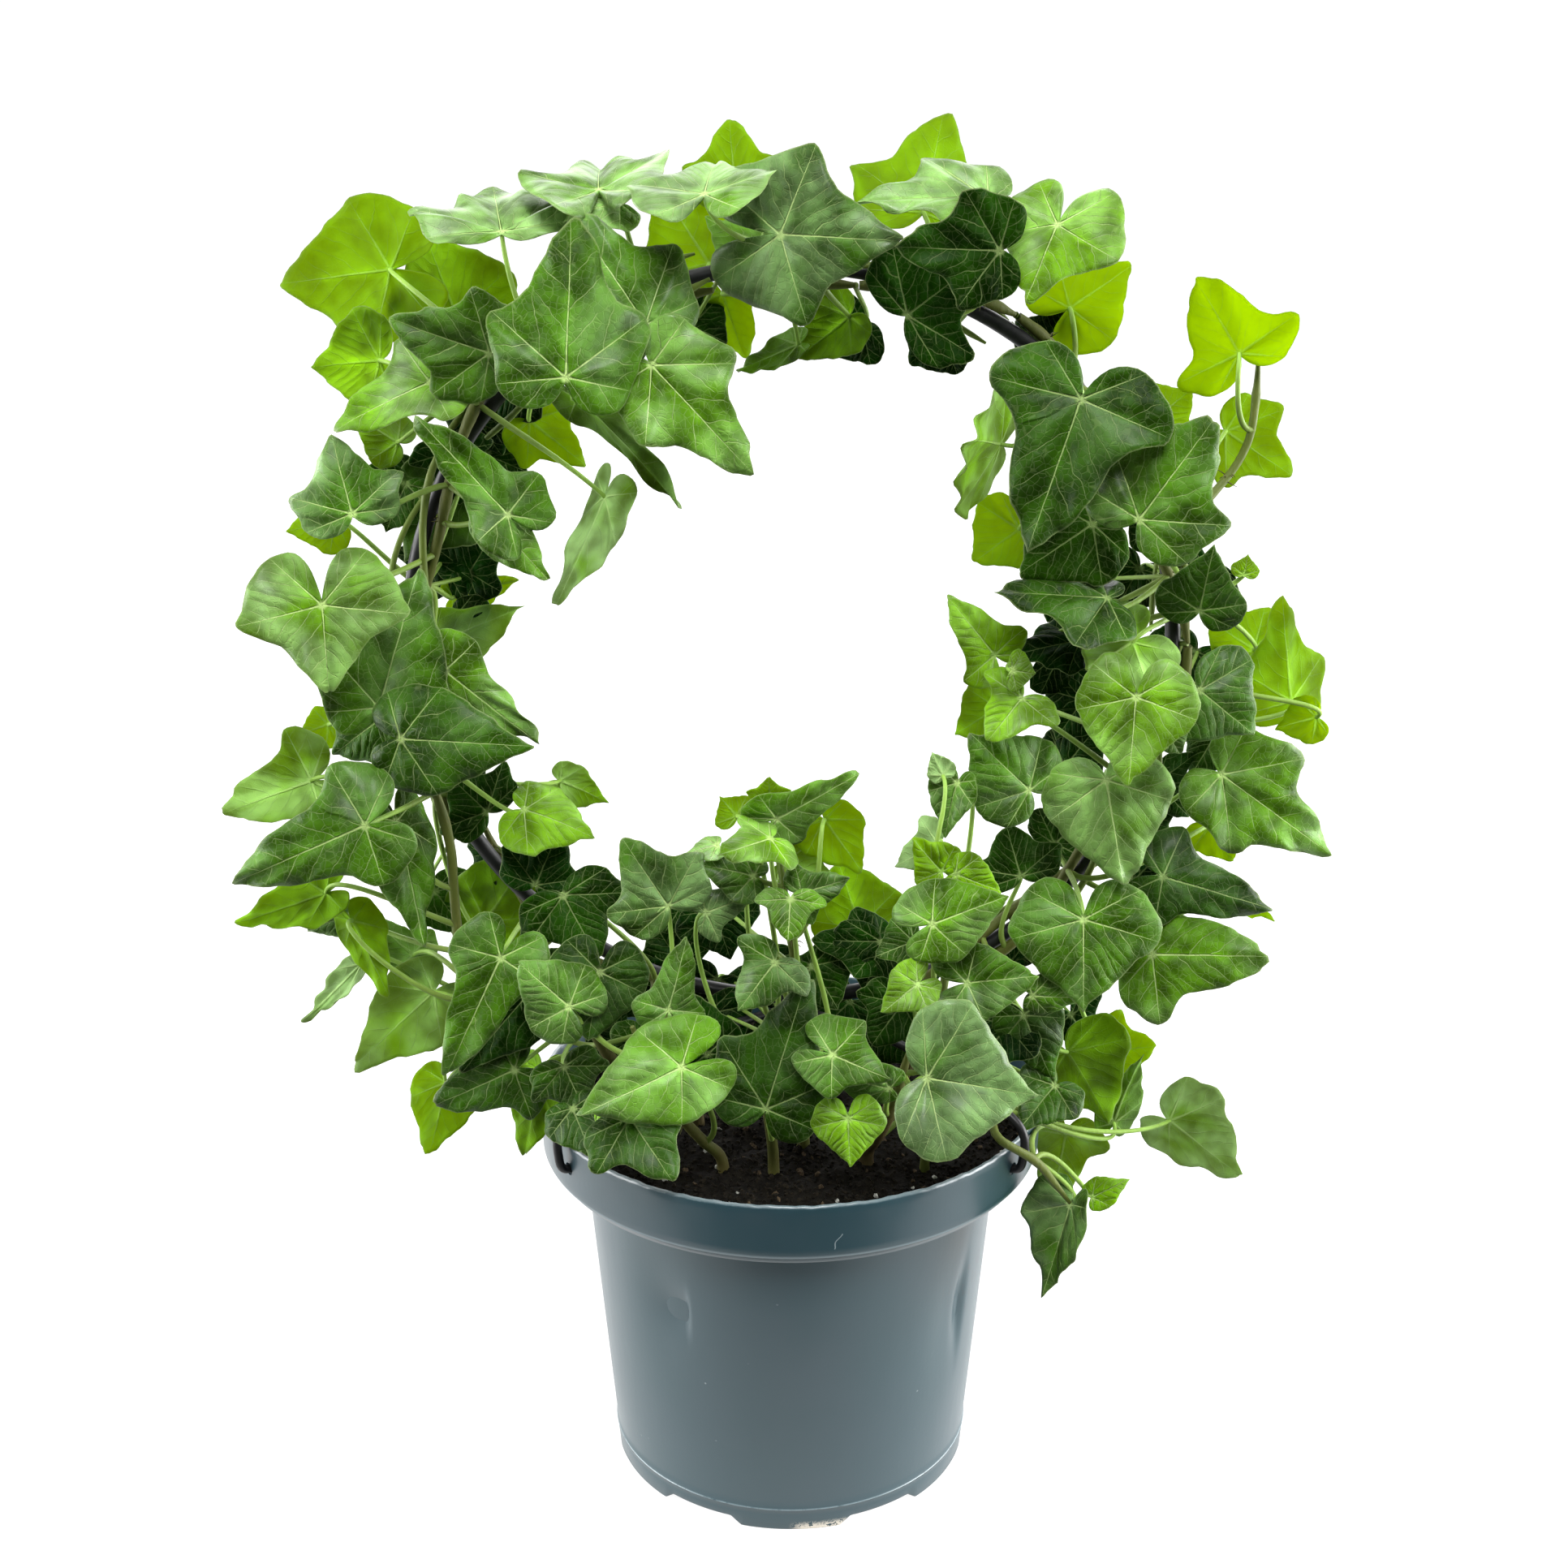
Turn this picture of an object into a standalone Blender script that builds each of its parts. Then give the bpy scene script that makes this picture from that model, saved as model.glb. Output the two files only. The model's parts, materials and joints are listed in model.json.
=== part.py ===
"""English ivy trained on a ring hoop, in a six inch nursery pot.

The pot stands on the floor at z = 0 with its axis on +Z. The hoop stands in the XZ plane and the
front of the plant looks along -Y. Each vine is one closed solid: its stem, its leaf stalks and its
lobed blades fused together. Blades are set out on a front view sheet and given their depth in
millimetres, then eased along the line of sight until nothing crosses its neighbour.
"""

import math
import random
from dataclasses import dataclass, field

import bmesh
import bpy
from mathutils import Matrix, Vector
from mathutils.bvhtree import BVHTree

MM = 0.001

# Front view sheet: where the eye stands, how far it looks down, and the sheet's own units.
EYE = Vector((-0.002, -0.652, 0.462))
EYE_PITCH = math.radians(20.5)
SHEET_FOCUS = 2965.0
SHEET_MIDDLE = 966.0

# Pot, in metres. The band is the deep rim and the step is the ledge that carries it.
RIM_RADIUS = 0.076
RIM_TOP = 0.123
BAND_HEIGHT = 0.017
BAND_TAPER = 0.0008
BODY_TOP_RADIUS = 0.0629
BASE_RADIUS = 0.0548
WALL = 0.0015
LIP = 0.0008
LEDGE_DROP = 0.0028
LEDGE_RISE = 0.0004
LEDGE_OVERHANG = 0.0022
ROUNDING = 0.0006
LIP_ROUNDING = 0.0003
FLOOR_UNDER = 0.0032
FOOT_RING = 0.0048
BEAD_HEIGHT = 0.0074
BEAD_PROUD = 0.0005
ARCH_WIDTH = 0.024
ARCH_COUNT = 6
ARCH_CROWN = 0.0004
DRAIN_RADIUS = 0.0045
DRAIN_CIRCLE = 0.036
DRAIN_COUNT = 6
DRAIN_SIDES = 10
CUTTER_OVERRUN = 0.002
POT_SEGMENTS = 36

# Potting soil.
SOIL_GAP = 0.0004
SOIL_EDGE = 0.1085
SOIL_CROWN = 0.1135
SOIL_BUMP = 0.0011
SOIL_RINGS = (0.66, 0.28)
CLOD_ACROSS = 210.0
CLOD_ALONG = 260.0
CLOD_SLANT = 410.0
SOIL_SEGMENTS = 22
ROOT_DEPTH = 0.011
ROOT_GAP = 0.00045
COLLAR_HEIGHT = 0.003

# Ring hoop and its three clip arms.
HOOP_RADIUS = 0.108
HOOP_HEIGHT = 0.2585
ROD_RADIUS = 0.0022
HOOP_SEGMENTS = 44
HOOP_SIDES = 6
HUB_RADIUS = 0.0044
HUB_LENGTH = 0.012
HUB_SIDES = 8
HUB_DROP = 0.0035
ARM_LEVEL = 0.030
ARM_RADIUS = 0.0013
ARM_SIDES = 5
ARM_ANGLES = (-148.0, -32.0, 90.0)
CLIP_HEIGHT = 0.1146
CLIP_GAP = 0.00065
CLIP_REACH = 0.0045
CLIP_HOLE_SIDES = 8
HOOK_STAND_OFF = 0.0014
HOOK_RADIUS = 0.0038
ARM_SHOULDER = (0.058, 0.1392)
ARM_ELBOW = (0.005, 0.0170)
ARM_BEND = 0.0116

# Ivy.
STEM_RADIUS = 0.0016
STEM_SIDES = 5
ROUTE_STEP = 0.009
WIND_GAP = 0.00065
WIND_RATE = 360.0 / 60.0
WIND_STEP = 5.5
WIND_ENTRY = 158.0
STALK_RADIUS = 0.0009
STALK_SIDES = 3
STALK_SPANS = 2
SHORT_STALK = 0.014
LONGEST_STALK = 0.024
LEAST_STALK = 0.004
BARE_FOOT = 0.006
ARRIVE_ALONG = 0.4
ARRIVE_ACROSS = 0.65
STALK_SPOTS = 16
STALK_SWINGS = (0.0, 0.5, -0.5, 1.0, -1.0)
STALK_LEANS = (0.0, 0.8, -0.8)
STALK_TAPER = 0.35
STALK_SHARE = 0.8
BLADE = 0.00075
EASE = 0.0004
SEED = 23
RIPPLE_SHARE = (0.02, 0.045)
RIPPLE_TURN = 2.4
DROOP_SHARE = (0.03, 0.13)
FOLDED = 0.2

# What fusing tidies: faces this close to one plane are joined, and none may be smaller than this.
FLAT_ANGLE = math.radians(0.2)
MERGE = 0.000001
LEAST_AREA = 1e-13
LEAST_VOLUME = 1e-11
# Ways of fusing, tried in turn: how the solids are joined, and how far each is first moved.
FUSE_TRIES = (("EXACT", 0.0), ("MANIFOLD", 0.0), ("EXACT", 0.00001), ("MANIFOLD", 0.00001),
              ("EXACT", 0.00003), ("MANIFOLD", 0.00003), ("EXACT", 0.00003))

# Turn of each strand round the rod, in degrees, on the left and the right half of the hoop. The
# second strand meets the rod on its front side, and the strands lie a third of a turn apart.
LEFT_SECOND = -90.0 + WIND_RATE * WIND_ENTRY
LEFT_MAIN = LEFT_SECOND + 120.0
RIGHT_SECOND = -90.0 - WIND_RATE * WIND_ENTRY
RIGHT_MAIN = RIGHT_SECOND + 120.0
RIGHT_THIRD = RIGHT_SECOND + 240.0

# Right half outlines of the blade forms, from the sinus to the tip: the side reach as a share of
# the width, and the reach towards the tip as a share of the midrib.
FORMS = {
    "five": ((0.0, -0.04), (0.15, -0.18), (0.38, -0.13), (0.46, 0.12), (0.50, 0.40),
             (0.26, 0.56), (0.12, 0.83), (0.0, 1.0)),
    "three": ((0.0, -0.04), (0.15, -0.25), (0.36, -0.22), (0.50, 0.06), (0.30, 0.30),
              (0.20, 0.64), (0.0, 1.0)),
    "wide": ((0.0, -0.06), (0.14, -0.56), (0.34, -0.50), (0.50, 0.22), (0.27, 0.42),
             (0.14, 0.74), (0.0, 1.0)),
    "heart": ((0.0, -0.04), (0.17, -0.22), (0.40, -0.13), (0.50, 0.14), (0.37, 0.46),
              (0.0, 1.0)),
    "cordate": ((0.0, -0.05), (0.16, -0.43), (0.38, -0.33), (0.50, 0.05), (0.36, 0.46),
                (0.0, 1.0)),
    "young": ((0.0, -0.03), (0.32, -0.16), (0.50, 0.30), (0.0, 1.0)),
}


# Ways of easing a blade, tried in turn: millimetres of depth, millimetres more at the tip, and
# degrees of roll.
EASES = [(0, 0, 0), (2, 0, 0), (-2, 0, 0), (0, 4, 0), (0, -4, 0), (0, 0, 10), (0, 0, -10),
         (4, 0, 0), (-4, 0, 0), (4, 4, 0), (-4, -4, 0), (4, -4, 0), (-4, 4, 0), (3, 0, 14),
         (3, 0, -14), (-3, 0, 14), (-3, 0, -14), (6, 0, 0), (-6, 0, 0), (6, 6, 0), (-6, -6, 0),
         (6, -6, 0), (-6, 6, 0), (0, 9, 0), (0, -9, 0), (6, 0, 16), (6, 0, -16), (-6, 0, 16),
         (-6, 0, -16), (9, 0, 0), (-9, 0, 0), (9, 5, 12), (9, 5, -12), (-9, -5, 12), (-9, -5, -12),
         (0, 13, 20), (0, -13, 20), (0, 13, -20), (0, -13, -20), (12, 0, 0), (-12, 0, 0),
         (12, 8, 15), (-12, -8, 15), (12, 8, -15), (-12, -8, -15), (15, 0, 10), (-15, 0, 10),
         (18, 0, 0), (-18, 0, 0), (18, 8, -15), (-18, -8, -15), (22, 0, 0), (-22, 0, 0)]


@dataclass
class Leaf:
    """One blade: its form, its stalk joint and tip on the sheet, and its width in millimetres.

    A place is (across, down, depth): two sheet units and millimetres behind the hoop's plane.
    Roll turns the blade about its midrib. The face is 1 where the eye sees the upper side and
    -1 where it sees the underside. Fold is the rise of each half, as a slope.
    """

    form: str
    joint: tuple
    tip: tuple
    width: float
    roll: float = 0.0
    face: int = 1
    fold: float = 0.16


@dataclass
class Vine:
    """One stem with its leaves. Routes are lists of points, each with its own stem radius."""

    name: str
    colour: tuple
    routes: list
    leaves: list = field(default_factory=list)


def on_sheet(across, down, depth_mm):
    """Point at a depth behind the hoop's plane that the eye sees at a place on the sheet."""
    forward = Vector((0.0, math.cos(EYE_PITCH), -math.sin(EYE_PITCH)))
    upward = Vector((0.0, math.sin(EYE_PITCH), math.cos(EYE_PITCH)))
    sight = forward * SHEET_FOCUS
    sight += Vector((1.0, 0.0, 0.0)) * (across - SHEET_MIDDLE)
    sight += upward * (SHEET_MIDDLE - down)
    return EYE + sight * ((depth_mm * MM - EYE.y) / sight.y)


def material(name, colour, roughness):
    """Principled material of one sub-part."""
    made = bpy.data.materials.new(name)
    made.use_nodes = True
    shader = made.node_tree.nodes["Principled BSDF"]
    shader.inputs["Base Color"].default_value = (*colour, 1.0)
    shader.inputs["Roughness"].default_value = roughness
    shader.inputs["Metallic"].default_value = 0.0
    return made


def add_object(name, vertices, faces):
    """Closed mesh object with its normals made to point out."""
    mesh = bpy.data.meshes.new(name)
    mesh.from_pydata([tuple(point) for point in vertices], [], faces)
    work = bmesh.new()
    work.from_mesh(mesh)
    bmesh.ops.recalc_face_normals(work, faces=work.faces)
    work.to_mesh(mesh)
    work.free()
    made = bpy.data.objects.new(name, mesh)
    bpy.context.scene.collection.objects.link(made)
    return made


def combine(base, others, operation, solver="EXACT"):
    """Boolean of an object with a list of others, which are then removed."""
    group = bpy.data.collections.new("operands")
    bpy.context.scene.collection.children.link(group)
    for other in others:
        group.objects.link(other)
    step = base.modifiers.new("combine", "BOOLEAN")
    step.operand_type = "COLLECTION"
    step.collection = group
    step.operation = operation
    step.solver = solver
    graph = bpy.context.evaluated_depsgraph_get()
    result = bpy.data.meshes.new_from_object(base.evaluated_get(graph))
    base.modifiers.clear()
    return result, group


def discard(group):
    """Remove a collection and the objects in it."""
    for other in list(group.objects):
        bpy.data.objects.remove(other)
    bpy.data.collections.remove(group)


def closed_bodies(work):
    """Groups of faces that join through edges with just two faces, the largest first."""
    seen = set()
    bodies = []
    for start in work.faces:
        if start in seen:
            continue
        body = {start}
        queue = [start]
        while queue:
            for edge in queue.pop().edges:
                if len(edge.link_faces) != 2:
                    continue
                for face in edge.link_faces:
                    if face not in body:
                        body.add(face)
                        queue.append(face)
        seen |= body
        bodies.append(body)
    return sorted(bodies, key=len, reverse=True)


def enclosed_volume(body):
    """Volume inside a group of triangles, below zero where they bound a hollow."""
    return sum(face.verts[0].co.dot(face.verts[1].co.cross(face.verts[2].co)) for face in body) / 6.0


def tidy_body(mesh, flatten=False):
    """Keep the largest closed body of a mesh, as triangles, and count what is wrong with it."""
    work = bmesh.new()
    work.from_mesh(mesh)
    bmesh.ops.remove_doubles(work, verts=work.verts, dist=MERGE)
    bmesh.ops.dissolve_degenerate(work, edges=work.edges, dist=MERGE)
    if flatten:
        bmesh.ops.dissolve_limit(work, angle_limit=FLAT_ANGLE, verts=work.verts, edges=work.edges)
    bmesh.ops.triangulate(work, faces=work.faces)
    corners = {}
    for face in work.faces:
        corners.setdefault(frozenset(face.verts), []).append(face)
    scraps = [face for group in corners.values() if len(group) > 1 for face in group]
    bmesh.ops.delete(work, geom=scraps, context="FACES")
    bodies = closed_bodies(work)
    lost = [body for body in bodies[1:] if enclosed_volume(body) > LEAST_VOLUME]
    bmesh.ops.delete(work, geom=[face for body in bodies[1:] for face in body], context="FACES")
    faults = len(lost) + sum(len(edge.link_faces) != 2 for edge in work.edges)
    faults += sum(face.calc_area() < LEAST_AREA for face in work.faces)
    work.to_mesh(mesh)
    work.free()
    return faults


def nudged(vertices, reach, number):
    """Vertices moved together by a drawn hair's breadth, so that no two solids share a plane."""
    draw = random.Random(SEED + number)
    shift = Vector([draw.uniform(-reach, reach) for _ in range(3)])
    return [point + shift for point in vertices]


def fuse(name, solids):
    """One body from overlapping closed solids, each a pair of vertices and faces."""
    best = None
    for number, (solver, reach) in enumerate(FUSE_TRIES):
        made = [add_object(name, nudged(points, reach, 100 * number + index), faces)
                for index, (points, faces) in enumerate(solids)]
        result, group = combine(made[0], made[1:], "UNION", solver)
        discard(group)
        bpy.data.objects.remove(made[0])
        faults = tidy_body(result, flatten=number + 1 < len(FUSE_TRIES))
        if best is None or faults < best[0]:
            best = (faults, result)
        if faults == 0:
            break
    fused = bpy.data.objects.new(name, best[1])
    bpy.context.scene.collection.objects.link(fused)
    return fused


def lathe(profile, segments):
    """Vertices and faces of a profile of (radius, height) turned about +Z."""
    vertices = []
    rings = []
    for radius, height in profile:
        if radius == 0.0:
            rings.append([len(vertices)])
            vertices.append(Vector((0.0, 0.0, height)))
            continue
        first = len(vertices)
        rings.append(list(range(first, first + segments)))
        for step in range(segments):
            turn = math.tau * step / segments
            vertices.append(Vector((radius * math.cos(turn), radius * math.sin(turn), height)))
    faces = []
    for low, high in zip(rings, rings[1:]):
        for step in range(segments):
            after = (step + 1) % segments
            if len(low) == 1:
                faces.append((low[0], high[step], high[after]))
            elif len(high) == 1:
                faces.append((low[step], low[after], high[0]))
            else:
                faces.append((low[step], low[after], high[after], high[step]))
    return vertices, faces


def tube(points, radii, sides, closed=False):
    """Vertices and faces of a tube along points, with end caps unless it closes on itself."""
    count = len(points)
    vertices = []
    side = None
    for index, point in enumerate(points):
        before = points[index - 1] if closed or index else points[0]
        after = points[(index + 1) % count] if closed or index + 1 < count else points[-1]
        along = (after - before).normalized()
        if side is None:
            side = along.cross(Vector((0.0, 1.0, 0.0)))
            if side.length < 0.2:
                side = along.cross(Vector((1.0, 0.0, 0.0)))
        side = (side - along * side.dot(along)).normalized()
        other = along.cross(side)
        for corner in range(sides):
            turn = math.tau * corner / sides
            arm = side * math.cos(turn) + other * math.sin(turn)
            vertices.append(point + arm * radii[index])
    faces = []
    spans = count if closed else count - 1
    for index in range(spans):
        low = index * sides
        high = (index + 1) % count * sides
        for corner in range(sides):
            after = (corner + 1) % sides
            faces.append((low + corner, low + after, high + after, high + corner))
    if not closed:
        faces.append(tuple(range(sides))[::-1])
        faces.append(tuple(range((count - 1) * sides, count * sides)))
    return vertices, faces


def smooth_path(points, spacing):
    """Evenly stepped Catmull-Rom curve through points."""
    padded = [points[0] * 2 - points[1], *points, points[-1] * 2 - points[-2]]
    path = []
    for a, b, c, d in zip(padded, padded[1:], padded[2:], padded[3:]):
        steps = max(1, round((c - b).length / spacing))
        for step in range(steps):
            t = step / steps
            path.append(0.5 * (b * 2 + (c - a) * t + (a * 2 - b * 5 + c * 4 - d) * t * t
                               + (b * 3 - a - c * 3 + d) * t ** 3))
    path.append(points[-1].copy())
    return path


def pot_profile():
    """Half section of the pot, from its underside out over the rim to the floor inside."""
    band_low = RIM_TOP - BAND_HEIGHT
    band_radius = RIM_RADIUS - BAND_TAPER
    body_high = band_low - LEDGE_DROP
    floor = FLOOR_UNDER + WALL
    return [
        (0.0, FLOOR_UNDER), (BASE_RADIUS - FOOT_RING, FLOOR_UNDER), (BASE_RADIUS - FOOT_RING, 0.0),
        (BASE_RADIUS - ROUNDING, 0.0), (BASE_RADIUS, ROUNDING),
        (BASE_RADIUS, BEAD_HEIGHT - ROUNDING), (BASE_RADIUS + BEAD_PROUD, BEAD_HEIGHT),
        (BODY_TOP_RADIUS, body_high), (band_radius - LEDGE_OVERHANG, body_high + LEDGE_RISE),
        (band_radius - ROUNDING, band_low), (band_radius, band_low + 2 * ROUNDING),
        (RIM_RADIUS, RIM_TOP - LIP), (RIM_RADIUS - LIP_ROUNDING, RIM_TOP),
        (RIM_RADIUS - WALL + LIP_ROUNDING, RIM_TOP), (band_radius - WALL, band_low + WALL),
        (BODY_TOP_RADIUS - WALL, body_high + WALL), (BASE_RADIUS - WALL, floor), (0.0, floor),
    ]


def upright_cutter(x, y, radius, low, high, sides=DRAIN_SIDES):
    """Upright rod that cuts a round hole."""
    points = [Vector((x, y, low)), Vector((x, y, high))]
    return add_object("cutter", *tube(points, [radius, radius], sides))


def arm_direction(angle):
    """Level unit vector from the pot's axis towards a clip arm."""
    turn = math.radians(angle)
    return Vector((math.cos(turn), math.sin(turn), 0.0))


def build_pot():
    """Thin pot with a deep rim band, six feet, drain holes and three clip holes."""
    made = add_object("pot", *lathe(pot_profile(), POT_SEGMENTS))
    cutters = []
    for index in range(ARCH_COUNT // 2):
        half = Vector((BASE_RADIUS * 1.2, ARCH_WIDTH / 2, FLOOR_UNDER - ARCH_CROWN))
        corners = [Vector((x, y, z)) for x in (-half.x, half.x) for y in (-half.y, half.y)
                   for z in (-half.z, half.z)]
        turn = Matrix.Rotation(math.tau * index / ARCH_COUNT, 3, "Z")
        faces = [(0, 1, 3, 2), (4, 6, 7, 5), (0, 4, 5, 1), (2, 3, 7, 6), (0, 2, 6, 4), (1, 5, 7, 3)]
        cutters.append(add_object("cutter", [turn @ corner for corner in corners], faces))
    for index in range(DRAIN_COUNT):
        turn = math.tau * (index + 0.5) / DRAIN_COUNT
        x = DRAIN_CIRCLE * math.cos(turn)
        y = DRAIN_CIRCLE * math.sin(turn)
        cutters.append(upright_cutter(x, y, DRAIN_RADIUS, FLOOR_UNDER - CUTTER_OVERRUN,
                                      FLOOR_UNDER + WALL + CUTTER_OVERRUN))
    for angle in ARM_ANGLES:
        outward = arm_direction(angle)
        ends = [outward * (RIM_RADIUS + reach) + Vector((0.0, 0.0, CLIP_HEIGHT))
                for reach in (-CLIP_REACH, CLIP_REACH)]
        radius = ARM_RADIUS + CLIP_GAP
        cutters.append(add_object("cutter", *tube(ends, [radius, radius], CLIP_HOLE_SIDES)))
    result, group = combine(made, cutters, "DIFFERENCE")
    discard(group)
    tidy_body(result)
    made.data = result
    return made


def soil_height(x, y):
    """Uneven soil surface, highest in the middle of the pot."""
    reach = min(1.0, math.hypot(x, y) / RIM_RADIUS)
    bump = math.sin(x * CLOD_ACROSS + 1.0) * math.cos(y * CLOD_ALONG)
    bump += 0.5 * math.sin((x - y) * CLOD_SLANT)
    return SOIL_CROWN + (SOIL_EDGE - SOIL_CROWN) * reach ** 2 + SOIL_BUMP * bump * (1.0 - reach)


def build_soil(feet):
    """Block of potting soil that fills the pot, with a plain hole for each stem."""
    band_low = RIM_TOP - BAND_HEIGHT
    inside = 2 * SOIL_GAP + WALL
    top_radius = RIM_RADIUS - BAND_TAPER - inside
    floor = FLOOR_UNDER + WALL + SOIL_GAP
    profile = [
        (0.0, floor), (BASE_RADIUS - inside, floor),
        (BODY_TOP_RADIUS - inside, band_low - LEDGE_DROP + WALL + SOIL_GAP),
        (top_radius, band_low + WALL + 2 * SOIL_GAP),
        (top_radius, SOIL_EDGE), *[(top_radius * share, SOIL_EDGE) for share in SOIL_RINGS],
        (0.0, SOIL_EDGE),
    ]
    vertices, faces = lathe(profile, SOIL_SEGMENTS)
    for point in vertices[1 + 4 * SOIL_SEGMENTS:]:
        point.z = soil_height(point.x, point.y)
    made = add_object("potting_soil", vertices, faces)
    holes = []
    for foot, radius in feet:
        low = soil_height(foot.x, foot.y) - ROOT_DEPTH - ROOT_GAP
        reach = radius + ROOT_GAP
        holes.append(upright_cutter(foot.x, foot.y, reach, low, RIM_TOP))
    result, group = combine(made, holes, "DIFFERENCE")
    discard(group)
    tidy_body(result)
    made.data = result
    return made


def hoop_point(theta):
    """Point of the hoop's centre line, theta degrees clockwise from the top."""
    turn = math.radians(theta)
    return Vector((HOOP_RADIUS * math.sin(turn), 0.0, HOOP_HEIGHT + HOOP_RADIUS * math.cos(turn)))


def build_hoop():
    """Ring rod on a hub, carried by three arms that clip through the pot's band."""
    ring = [hoop_point(360.0 * step / HOOP_SEGMENTS) for step in range(HOOP_SEGMENTS)]
    solids = [tube(ring, [ROD_RADIUS] * len(ring), HOOP_SIDES, closed=True)]
    base = hoop_point(180.0)
    hub_ends = [base + Vector((0.0, 0.0, side * HUB_LENGTH / 2)) for side in (-1, 1)]
    solids.append(tube(hub_ends, [HUB_RADIUS] * 2, HUB_SIDES))
    reach = RIM_RADIUS + ARM_RADIUS + CLIP_GAP + HOOK_STAND_OFF
    for angle in ARM_ANGLES:
        outward = arm_direction(angle)
        stations = [
            (0.0, base.z - HUB_DROP), (ARM_LEVEL, base.z - HUB_DROP - ARM_RADIUS), ARM_SHOULDER,
            (reach - ARM_ELBOW[0], CLIP_HEIGHT + ARM_ELBOW[1]), (reach, CLIP_HEIGHT + ARM_BEND),
            (reach, CLIP_HEIGHT + HOOK_RADIUS),
            (reach - HOOK_RADIUS / 3, CLIP_HEIGHT + HOOK_RADIUS / 6),
            (reach - HOOK_RADIUS, CLIP_HEIGHT), (RIM_RADIUS - CLIP_REACH, CLIP_HEIGHT),
        ]
        path = [outward * out + Vector((0.0, 0.0, height)) for out, height in stations]
        solids.append(tube(path, [ARM_RADIUS] * len(path), ARM_SIDES))
    return fuse("ring_hoop", solids)


def wound(start, end, phase, radius=STEM_RADIUS):
    """Route round the rod from one clock angle of the hoop to another."""
    steps = max(2, round(abs(end - start) / WIND_STEP))
    offset = ROD_RADIUS + STEM_RADIUS + WIND_GAP
    route = []
    for step in range(steps + 1):
        theta = start + (end - start) * step / steps
        centre = hoop_point(theta)
        outward = (centre - Vector((0.0, 0.0, HOOP_HEIGHT))).normalized()
        turn = math.radians(phase + theta * WIND_RATE)
        arm = outward * math.cos(turn) + Vector((0.0, math.sin(turn), 0.0))
        route.append((centre + arm * offset, radius))
    return route


def rooted(points_mm, start_radius, end_radius, after=()):
    """Route from a foot in the soil through points in millimetres, then along another route."""
    points = [Vector(point) * MM for point in points_mm]
    foot = points[0]
    foot.z = soil_height(foot.x, foot.y) - ROOT_DEPTH
    collar = Vector((foot.x, foot.y, foot.z + ROOT_DEPTH + COLLAR_HEIGHT))
    joined = [collar, *points[1:], *[spot for spot, _ in after[:1]]]
    path = [foot, *smooth_path(joined, ROUTE_STEP)]
    count = len(path) - 1
    radii = [start_radius + (end_radius - start_radius) * index / count for index in range(count + 1)]
    return list(zip(path, radii)) + list(after[1:])


def free_route(points, radius):
    """Route through given points with one radius."""
    return [(point, radius) for point in smooth_path(points, ROUTE_STEP)]


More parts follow.
